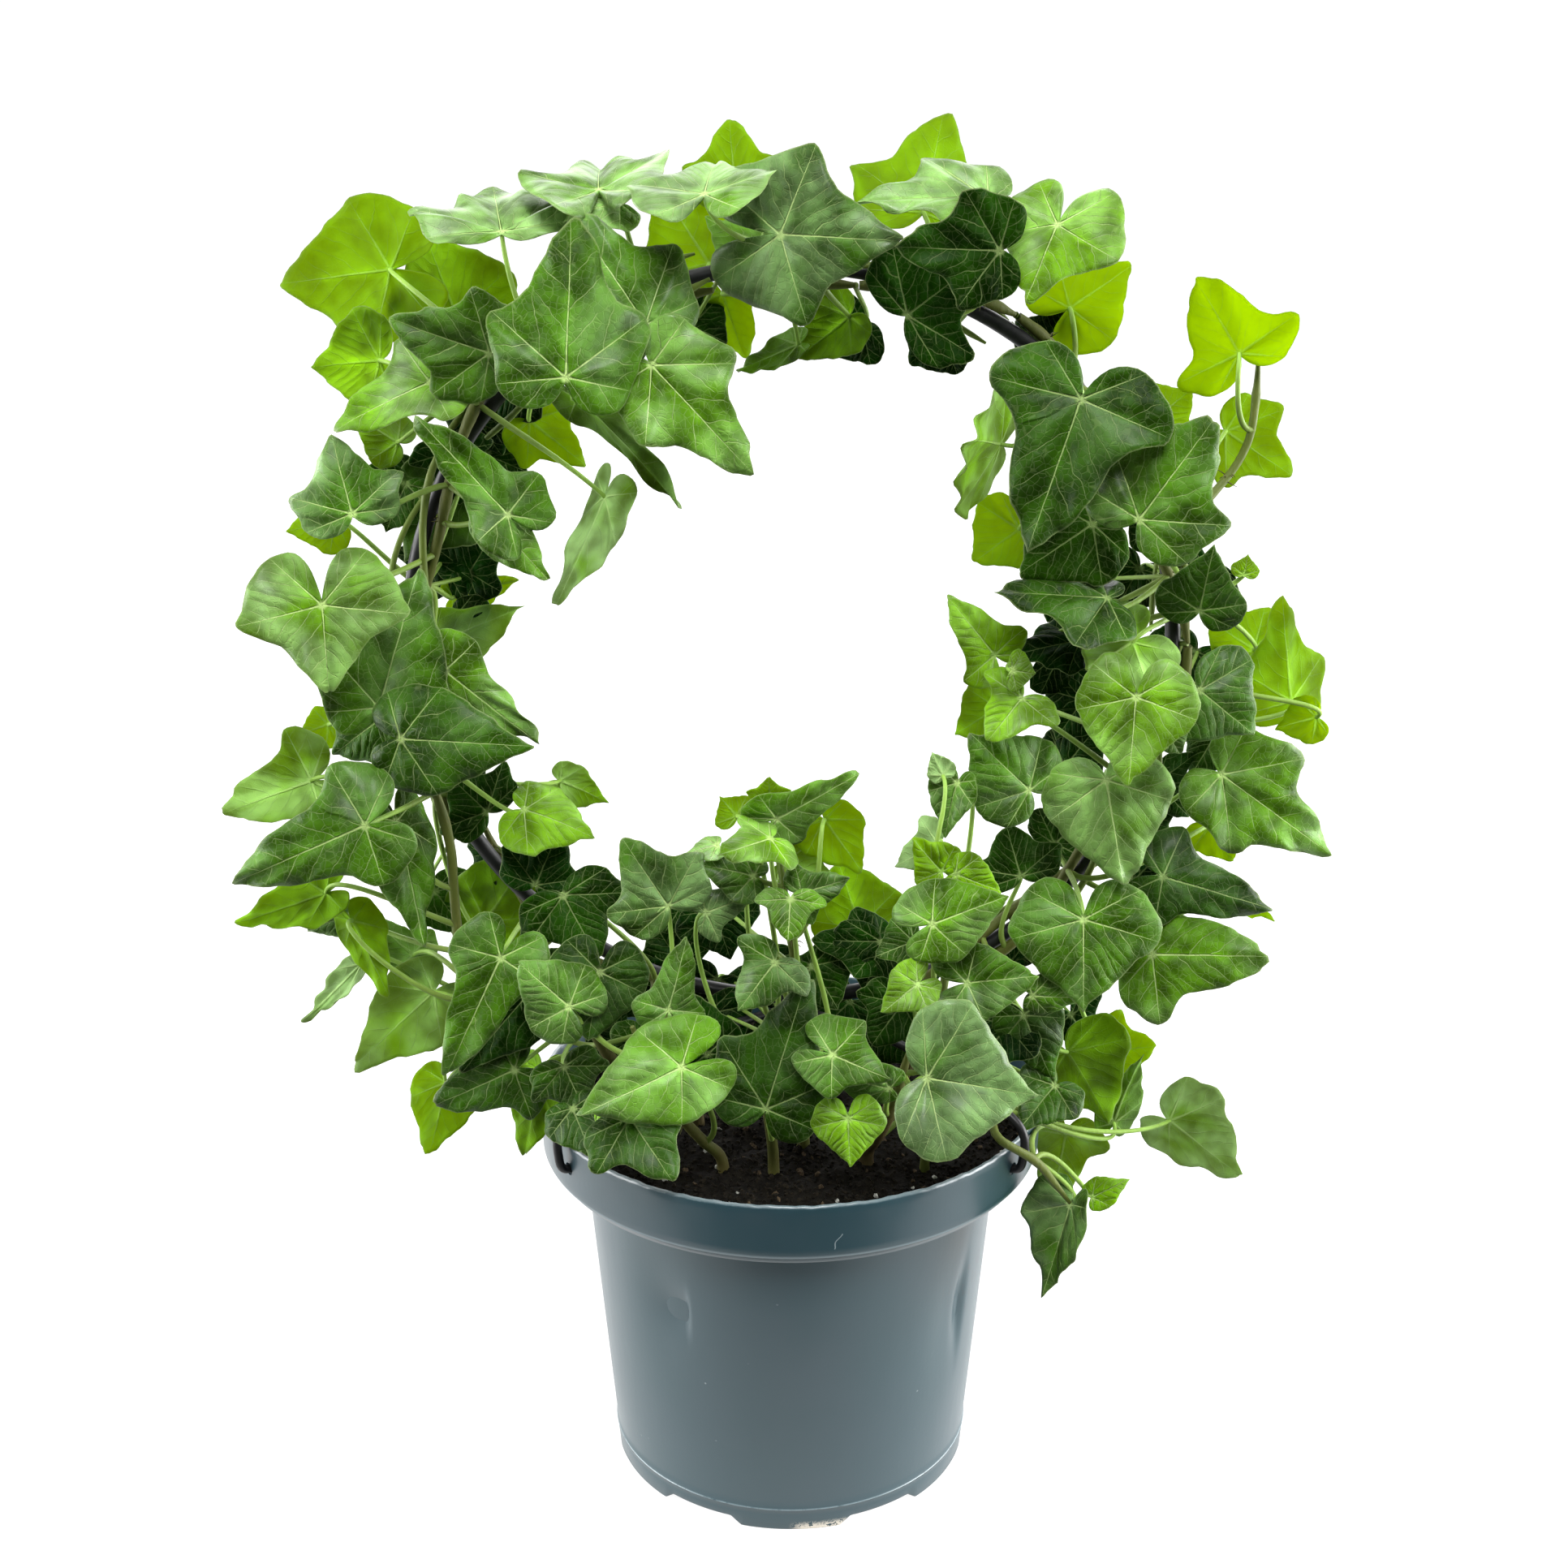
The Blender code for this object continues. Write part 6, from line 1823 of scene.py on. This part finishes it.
    (HEART, (706, 1366, -52), (728, 1424, -64), 20, DARK, 10),
    (CORDATE, (701, 1240, -58), (641, 1188, -60), 24, GREEN),
    (CORDATE, (739, 1197, -50), (724, 1288, -56), 27, DARK),
    (THREE, (823, 1244, -52), (848, 1157, -48), 21, GREEN, 20),
    (FIVE, (823, 1116, -46), (770, 1038, -48), 30, SHEEN),
    (YOUNG, (735, 1384, -62), (768, 1400, -66), 13, FRESH, 10),
], "shoot_front_centre": [
    (FIVE, (944, 1366, -56), (991, 1216, -52), 36, DARK),
    (HEART, (872, 1298, -42), (848, 1222, -40), 22, DEEP),
    (THREE, (955, 1186, -46), (911, 1243, -56), 25, SHEEN),
], "shoot_front_right": [
    (HEART, (1142, 1328, -70), (1277, 1350, -72), 44, SHEEN, 4),
    (WIDE, (1026, 1300, -58), (1097, 1330, -66), 23, GREEN),
    (YOUNG, (1096, 1340, -56), (1014, 1326, -60), 15, GREEN, -40),
    (CORDATE, (1045, 1378, -62), (1047, 1438, -66), 21, FRESH),
    (CORDATE, (1192, 1211, -52), (1280, 1203, -58), 22, GREEN),
    (YOUNG, (1272, 1226, -46), (1336, 1232, -48), 13, GREEN, 30),
], "young_shoot_centre": [
    (WIDE, (948, 981, -42), (947, 962, -48), 12, LIME),
    (THREE, (957, 1008, -40), (1058, 958, -46), 21, MID, 34),
    (THREE, (949, 1034, -46), (884, 1054, -56), 23, SOFT, 38),
    (YOUNG, (908, 1006, -32), (887, 982, -30), 12, BACKLIT, 0, -1),
    (YOUNG, (884, 1042, -40), (844, 1051, -42), 9, LIGHT, 40),
    (HEART, (1016, 1010, -34), (1061, 1070, -32), 20, BACKLIT, 16, -1),
    (YOUNG, (966, 1064, -30), (1029, 1078, -30), 16, PALE, 40, -1),
    (HEART, (928, 1080, -42), (859, 1062, -44), 16, GREEN, 20),
    (THREE, (974, 1108, -50), (971, 1160, -58), 20, MID),
    (THREE, (988, 1100, -44), (1046, 1083, -44), 18, GREEN, 10),
    (THREE, (870, 1124, -44), (926, 1104, -42), 19, SHEEN, 10),
], "young_shoot_right": [
    (CORDATE, (1149, 1138, -56), (1240, 1105, -62), 22, MID, 4),
    (HEART, (1160, 1073, -50), (1125, 1035, -54), 15, LIME),
    (YOUNG, (1178, 1076, -46), (1233, 1100, -50), 15, FRESH, 20),
    (CORDATE, (1130, 1213, -58), (1088, 1247, -64), 15, FRESH),
    (THREE, (1156, 1040, -36), (1104, 1068, -38), 20, GREY, 20, -1),
    (HEART, (1126, 1160, -42), (1079, 1178, -46), 16, DARK, 20),
    (HEART, (1180, 964, -36), (1160, 1033, -40), 14, GREEN, 20, 1, 0.4),
    (YOUNG, (1162, 956, -38), (1148, 926, -38), 8, GREY, 0, -1),
], "shoot_trailing_right": [
    (HEART, (1320, 1484, -40), (1283, 1598, -44), 25, SHEEN, 40, 1, 0.5),
    (YOUNG, (1346, 1475, -36), (1391, 1453, -38), 10, FRESH),
    (THREE, (1313, 1397, -14), (1297, 1483, -20), 27, PALE, 10, -1),
    (HEART, (1441, 1381, -8), (1531, 1447, -16), 32, GREY, 40, -1, 0.3),
    (YOUNG, (1372, 1384, -12), (1402, 1296, -8), 14, DUSK, 30, -1),
]}

# Inner leaves that fill the thicket behind the others, near-black in INK and DEEP tones: painted shade
INNER_LEAVES: dict[str, list[tuple]] = {"vine_left_high": [
    (HEART, (585, 590, 14), (540, 652, 18), 26, INK, 8),
    (THREE, (578, 706, 16), (618, 640, 18), 23, INK, -12),
    (HEART, (522, 618, 16), (492, 560, 14), 22, DEEP, 6),
    (HEART, (560, 760, 14), (600, 800, 16), 22, INK, 14),
    (HEART, (600, 560, 18), (642, 518, 18), 24, INK, 6),
    (FIVE, (544, 690, 18), (512, 742, 18), 25, INK, 8),
    (HEART, (500, 596, 8), (474, 656, 6), 25, DEEP, 8),
    (THREE, (556, 556, 8), (572, 622, 8), 23, INK, -6),
], "vine_left_middle": [
    (FIVE, (556, 962, 12), (598, 918, 14), 24, INK, 6),
    (HEART, (520, 884, 14), (482, 932, 14), 22, INK, -8),
    (THREE, (612, 1066, 10), (580, 1116, 12), 23, INK, 10),
    (HEART, (536, 1098, 12), (576, 1152, 10), 22, DEEP, -14),
], "vine_left_rooted": [
    (FIVE, (764, 1204, 10), (802, 1254, 8), 27, INK, 6),
    (HEART, (700, 1214, 12), (660, 1170, 12), 24, DEEP, -8),
    (THREE, (766, 1272, 4), (716, 1306, 0), 24, INK, 12),
    (HEART, (640, 1270, 10), (604, 1228, 12), 24, INK, 4),
], "young_shoot_centre": [
    (HEART, (836, 1184, 14), (802, 1132, 14), 24, INK, 8),
    (FIVE, (884, 1206, 8), (852, 1262, 2), 25, INK, -6),
    (HEART, (932, 1194, 14), (966, 1246, 8), 25, INK, 12),
    (THREE, (1006, 1206, 12), (1036, 1152, 14), 24, DEEP, -4),
    (HEART, (1048, 1234, 8), (1004, 1276, 0), 25, INK, 10),
    (HEART, (872, 1250, -8), (908, 1304, -14), 26, INK, 6),
    (FIVE, (956, 1262, -6), (984, 1316, -12), 26, INK, -8),
    (HEART, (800, 1286, -10), (768, 1334, -16), 25, DEEP, 8),
    (HEART, (880, 1122, -4), (900, 1182, -10), 26, INK, 6),
    (HEART, (1000, 1190, -8), (1034, 1244, -14), 24, DEEP, -8),
    (THREE, (846, 1106, 6), (818, 1150, 2), 21, INK, 10),
], "vine_right_rooted": [
    (FIVE, (1112, 1204, 10), (1152, 1256, 4), 27, INK, -8),
    (HEART, (1176, 1246, 2), (1214, 1292, -4), 24, DEEP, 12),
    (HEART, (1244, 1186, 10), (1212, 1134, 12), 23, INK, 6),
    (THREE, (1320, 1250, 8), (1352, 1300, 6), 24, INK, -10),
    (HEART, (1092, 1262, -6), (1128, 1312, -12), 26, INK, 8),
    (HEART, (1086, 1160, -8), (1064, 1222, -14), 27, INK, 6),
    (FIVE, (1112, 1236, -34), (1074, 1288, -40), 25, DEEP, -8),
    (HEART, (1240, 1262, -20), (1206, 1316, -28), 24, INK, 6),
], "vine_right_bottom": [
    (HEART, (1398, 1084, 10), (1440, 1040, 12), 25, INK, 8),
    (HEART, (1300, 1040, 12), (1340, 1000, 14), 23, INK, -12),
    (THREE, (1426, 962, 14), (1466, 1010, 14), 25, DEEP, 10),
    (HEART, (1394, 1010, 18), (1432, 1058, 18), 24, INK, 6),
], "vine_right_low": [
    (HEART, (1334, 862, 14), (1300, 912, 14), 23, INK, 4),
    (HEART, (1312, 944, 16), (1354, 892, 14), 22, INK, -8),
    (FIVE, (1500, 902, 14), (1466, 958, 14), 25, DEEP, 12),
    (HEART, (1474, 802, 16), (1436, 858, 16), 26, INK, 6),
], "vine_right_middle": [
    (HEART, (1332, 722, 12), (1288, 768, 14), 25, INK, 10),
    (HEART, (1306, 806, 18), (1346, 846, 18), 25, INK, 4),
    (THREE, (1482, 702, 14), (1436, 756, 14), 26, INK, -6),
    (HEART, (1404, 700, 16), (1372, 756, 16), 24, DEEP, 4),
], "vine_upper_right": [
    (HEART, (1440, 640, 14), (1396, 596, 14), 27, DEEP, 8),
    (FIVE, (1344, 560, 14), (1388, 516, 14), 24, INK, -8),
], "vine_top_right": [
    (HEART, (1164, 412, 10), (1120, 448, 12), 23, INK, 6),
    (HEART, (1294, 432, 12), (1250, 398, 12), 22, INK, -8),
], "vine_top_middle": [
    (HEART, (1062, 398, 14), (1016, 432, 16), 22, INK, 10),
    (HEART, (852, 402, 14), (890, 362, 16), 21, DEEP, -6),
], "vine_upper_left": [
    (HEART, (640, 470, 14), (596, 506, 16), 24, INK, 6),
    (FIVE, (590, 520, 14), (560, 560, 16), 22, INK, -8),
]}


@dataclass
class Catalogue:
    """The plant's stems and leaves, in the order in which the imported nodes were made."""

    hoop: RingHoop
    mix: PottingMix
    route_step: float = 0.009
    root_depth: float = 0.011
    collar: float = 0.003
    wind_entry: float = 158.0
    sectors: tuple[tuple[str, float, float], ...] = (
        ("vine_left_middle", -118.0, -86.7), ("vine_left_high", -86.0, -56.7),
        ("vine_upper_left", -56.0, -32.7), ("vine_top_left", -32.0, -11.7),
        ("vine_top_middle", -10.0, 9.4), ("vine_top_right", 10.0, 32.5),
        ("vine_upper_right", 33.0, 60.5), ("vine_right_middle", 61.0, 88.5),
        ("vine_right_low", 89.0, 118.4), ("vine_right_bottom", 119.0, 150.0))
    shoots: tuple[tuple[str, tuple[Place, ...], float, float], ...] = (
        ("shoot_front_left", ((-20, -36, 0), (-34, -48, 140), (-44, -52, 166)), 0.0019, 0.0014),
        ("shoot_front_centre", ((-5, -38, 0), (-7, -42, 136), (-14, -44, 158)), 0.0019, 0.0014),
        ("shoot_front_right", ((22, -32, 0), (28, -46, 136), (33, -50, 158)), 0.0026, 0.0015),
        ("young_shoot_centre", ((4, -24, 0), (4, -30, 140), (1, -38, 178), (-3, -42, 212)), 0.0017, 0.0010),
        ("young_shoot_right", ((39, -34, 0), (41, -42, 150), (43, -48, 190), (44, -46, 206)), 0.0016, 0.0010))
    strands: tuple[tuple[float, float, float, float], ...] = (
        (0.0, 75.0, 0.0011, 1.12), (1.5, 205.0, 0.0009, 1.40))

    def vines(self) -> list[Vine]:
        """Every vine with its leaves: up the left, clockwise round the hoop, then those in the soil.

        Returns:
            The vines.
        """
        stem, wound, entry = self.hoop.stem_radius, self.hoop.wound, self.wind_entry
        side = self.rooted([(-46, -13, 0), (-52, -16, 136), (-60, -22, 152)], 0.0021, 0.0018)
        side = self.led(side, [(590, 1230, -24), (563, 1140, -24), (556, 1050, -24), (536, 975, -22),
                               (505, 915, -20)], 0.0015)
        vines = [Vine("vine_left_low", [side])]
        for node, start, end in self.sectors:
            phase = self.phase(-1.0 if end < 0.0 else 1.0, 1)
            strands = [wound(start + inset, end - inset, phase + turned, radius, loose)
                       for inset, turned, radius, loose in self.strands]
            vines.append(Vine(node, [wound(start, end, phase)], strands))
        left = self.rooted([(-28, -9, 0), (-36, -10, 136), (-41, -8, 152)], 0.0021, stem,
                           wound(-entry, -120.0, self.phase(-1.0, 0)))
        right = self.rooted([(29, -9, 0), (36, -10, 136), (41, -8, 152)], 0.0024, stem,
                            wound(entry, 120.0, self.phase(1.0, 0)))
        shoot = self.led(wound(58.0, 72.0, self.phase(1.0, 2)),
                         [(1512, 588, 8), (1542, 530, 10), (1551, 436, 12)], 0.0012)
        vines += [Vine("vine_left_rooted", [left]), Vine("vine_right_rooted", [right]),
                  Vine("shoot_upper_right", [shoot])]
        vines += [Vine(node, [self.rooted(points, low, high)]) for node, points, low, high in self.shoots]
        trail = self.led(self.rooted([(50, -14, 0), (56, -20, 132)], 0.0018, stem),
                         [(1232, 1404, -47), (1275, 1430, -46), (1318, 1482, -42)], 0.0013)
        vines.append(Vine("shoot_trailing_right", [trail]))
        for vine in vines:
            vine.leaves = [Leaf(*row) for row in OUTER_LEAVES[vine.node]]
            vine.inner = [Leaf(*row) for row in INNER_LEAVES.get(vine.node, [])]
        return vines

    def phase(self, side: float, strand: int) -> float:
        """Angle at which a strand of the left (-1) or right (1) side lies on the rod at the top."""
        return -90.0 - side * self.hoop.wind_turns * self.wind_entry + 120.0 * strand

    def rooted(self, points_mm: Sequence[Place], start_radius: float, end_radius: float,
               after: Route | tuple = ()) -> Route:
        """Route from a foot in the soil through points in millimetres, then along another route.

        Args:
            points_mm: The foot and the points above it.
            start_radius: Radius at the foot.
            end_radius: Radius at the last point.
            after: Route that it goes on along.

        Returns:
            The route.
        """
        points = [Vector(point) * MM for point in points_mm]
        foot = points[0]
        foot.z = self.mix.height(foot.x, foot.y) - self.root_depth
        collar = Vector((foot.x, foot.y, foot.z + self.root_depth + self.collar))
        joined = [collar, *points[1:], *[spot for spot, _ in after[:1]]]
        path = [foot, *smooth_path(joined, self.route_step)]
        radii = np.linspace(start_radius, end_radius, len(path)).tolist()
        return list(zip(path, radii)) + list(after[1:])

    def led(self, route: Route, places: list[Place], radius: float) -> Route:
        """Route that goes on from its end through places on the sheet, with one radius."""
        points = [route[-1][0], *[Sheet.spot(*place) for place in places]]
        return route[:-1] + [(point, radius) for point in smooth_path(points, self.route_step)]


@dataclass
class Studio:
    """Pale floor, soft lights all round and the camera at the photograph's angle."""

    sensor: float = 36.0
    floor_size: float = 40.0
    floor_front: float = 0.16
    dim: float = 0.07
    bright: float = 0.8
    glow: float = 0.95
    lights: tuple[tuple[str, Place, Place, tuple[float, float], float], ...] = (
        ("key", (0.10, -0.90, 1.20), (0.0, 0.0, 0.25), (0.45, 0.45), 19.0),
        ("left", (-0.95, 0.05, 0.25), (0.0, 0.0, 0.12), (1.0, 0.7), 24.0),
        ("right", (0.95, 0.05, 0.25), (0.0, 0.0, 0.12), (1.0, 0.7), 33.0),
        ("back", (0.2, 1.4, 1.0), (0.0, 0.0, 0.24), (1.8, 1.2), 26.0),
        ("top", (-0.15, -0.25, 1.45), (0.0, 0.0, 0.2), (0.6, 0.6), 14.0),
    )

    def build(self) -> None:
        """Build the stage, the lights and the camera."""
        scene = bpy.context.scene
        world = bpy.data.worlds.new("studio_white")
        world.use_nodes = True
        sky = TreeKit(world.node_tree)
        aim = sky.wire("ShaderNodeTexCoord", output="Generated")
        lean = sky.wire("ShaderNodeVectorMath", {"operation": "DOT_PRODUCT"},
                        {0: aim, 1: (0.0, 0.72, 0.69)}, "Value")
        level = sky.wire("ShaderNodeMapRange", {"interpolation_type": "SMOOTHSTEP"}, {
            "Value": lean, "From Min": -0.75, "From Max": 0.75, "To Min": self.dim, "To Max": self.bright})
        light = sky.wire("ShaderNodeBackground", None, {"Color": (1.0, 1.0, 1.0), "Strength": level})
        sky.tree.links.new(light.socket, sky.tree.nodes["World Output"].inputs["Surface"])
        scene.world = world
        kit = Shading("pale_floor")
        cloud = kit.noise(kit.place(), 3.0)
        skin = kit.blend(cloud * 0.1, (0.16, 0.16, 0.16), (0.12, 0.12, 0.12))
        paper = kit.finish(kit.surface({"Base Color": skin, "Roughness": 0.9, "Specular IOR Level": 0.0,
                                        "Emission Color": (1.0, 1.0, 1.0, 1.0),
                                        "Emission Strength": self.glow}))
        half = self.floor_size / 2
        front = -self.floor_front
        corners = [(-half, front, 0), (half, front, 0), (half, half, 0), (-half, half, 0)]
        floor = plain_mesh("floor", corners, [(0, 1, 2, 3)], False)
        floor.data.materials.append(paper)
        for name, place, aim, size, power in self.lights:
            lamp = bpy.data.lights.new(name, "AREA")
            lamp.shape = "RECTANGLE"
            lamp.size, lamp.size_y = size
            lamp.energy = power
            made = added(name, lamp)
            made.location = place
            made.rotation_euler = (Vector(aim) - Vector(place)).to_track_quat("-Z", "Y").to_euler()
        lens = bpy.data.cameras.new("view")
        lens.sensor_width = self.sensor
        lens.lens = Sheet.focus * self.sensor / Sheet.width
        lens.clip_start = 0.01
        camera = added("view", lens)
        camera.location = Sheet.eye
        camera.rotation_euler = (math.pi / 2 - Sheet.pitch, 0.0, 0.0)
        scene.camera = camera
        scene.view_settings.view_transform = "Standard"


def main() -> None:
    """Build every piece in order and report it."""
    logging.basicConfig(level=logging.INFO, format="%(message)s")
    Studio().build()
    LOG.info("pot: %s", NurseryPot().build().name)
    mix = PottingMix()
    for piece in mix.build():
        LOG.info("soil: %s, %d faces", piece.name, len(piece.data.polygons))
    weaver = RodWeaver()
    hoop = RingHoop(weaver)
    LOG.info("hoop: %s", hoop.build().name)
    # The third skin is a shaded copy of the upper one, with little reflection, for blades in painted shade
    skins = [LeafFinish("ivy_leaf_upper", True).build(), LeafFinish("ivy_leaf_under", False).build(),
             LeafFinish("ivy_leaf_shaded_copy", True, 0.02).build()]
    bark = StemFinish("ivy_stem").build()
    first = 0
    for vine in Catalogue(hoop, mix).vines():
        for piece in LeafyStem(vine, first, weaver, skins, bark).build():
            LOG.info("vine: %s, %d faces", piece.name, len(piece.data.polygons))
        first += len(vine.leaves)
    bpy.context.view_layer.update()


if __name__ == "__main__":
    main()
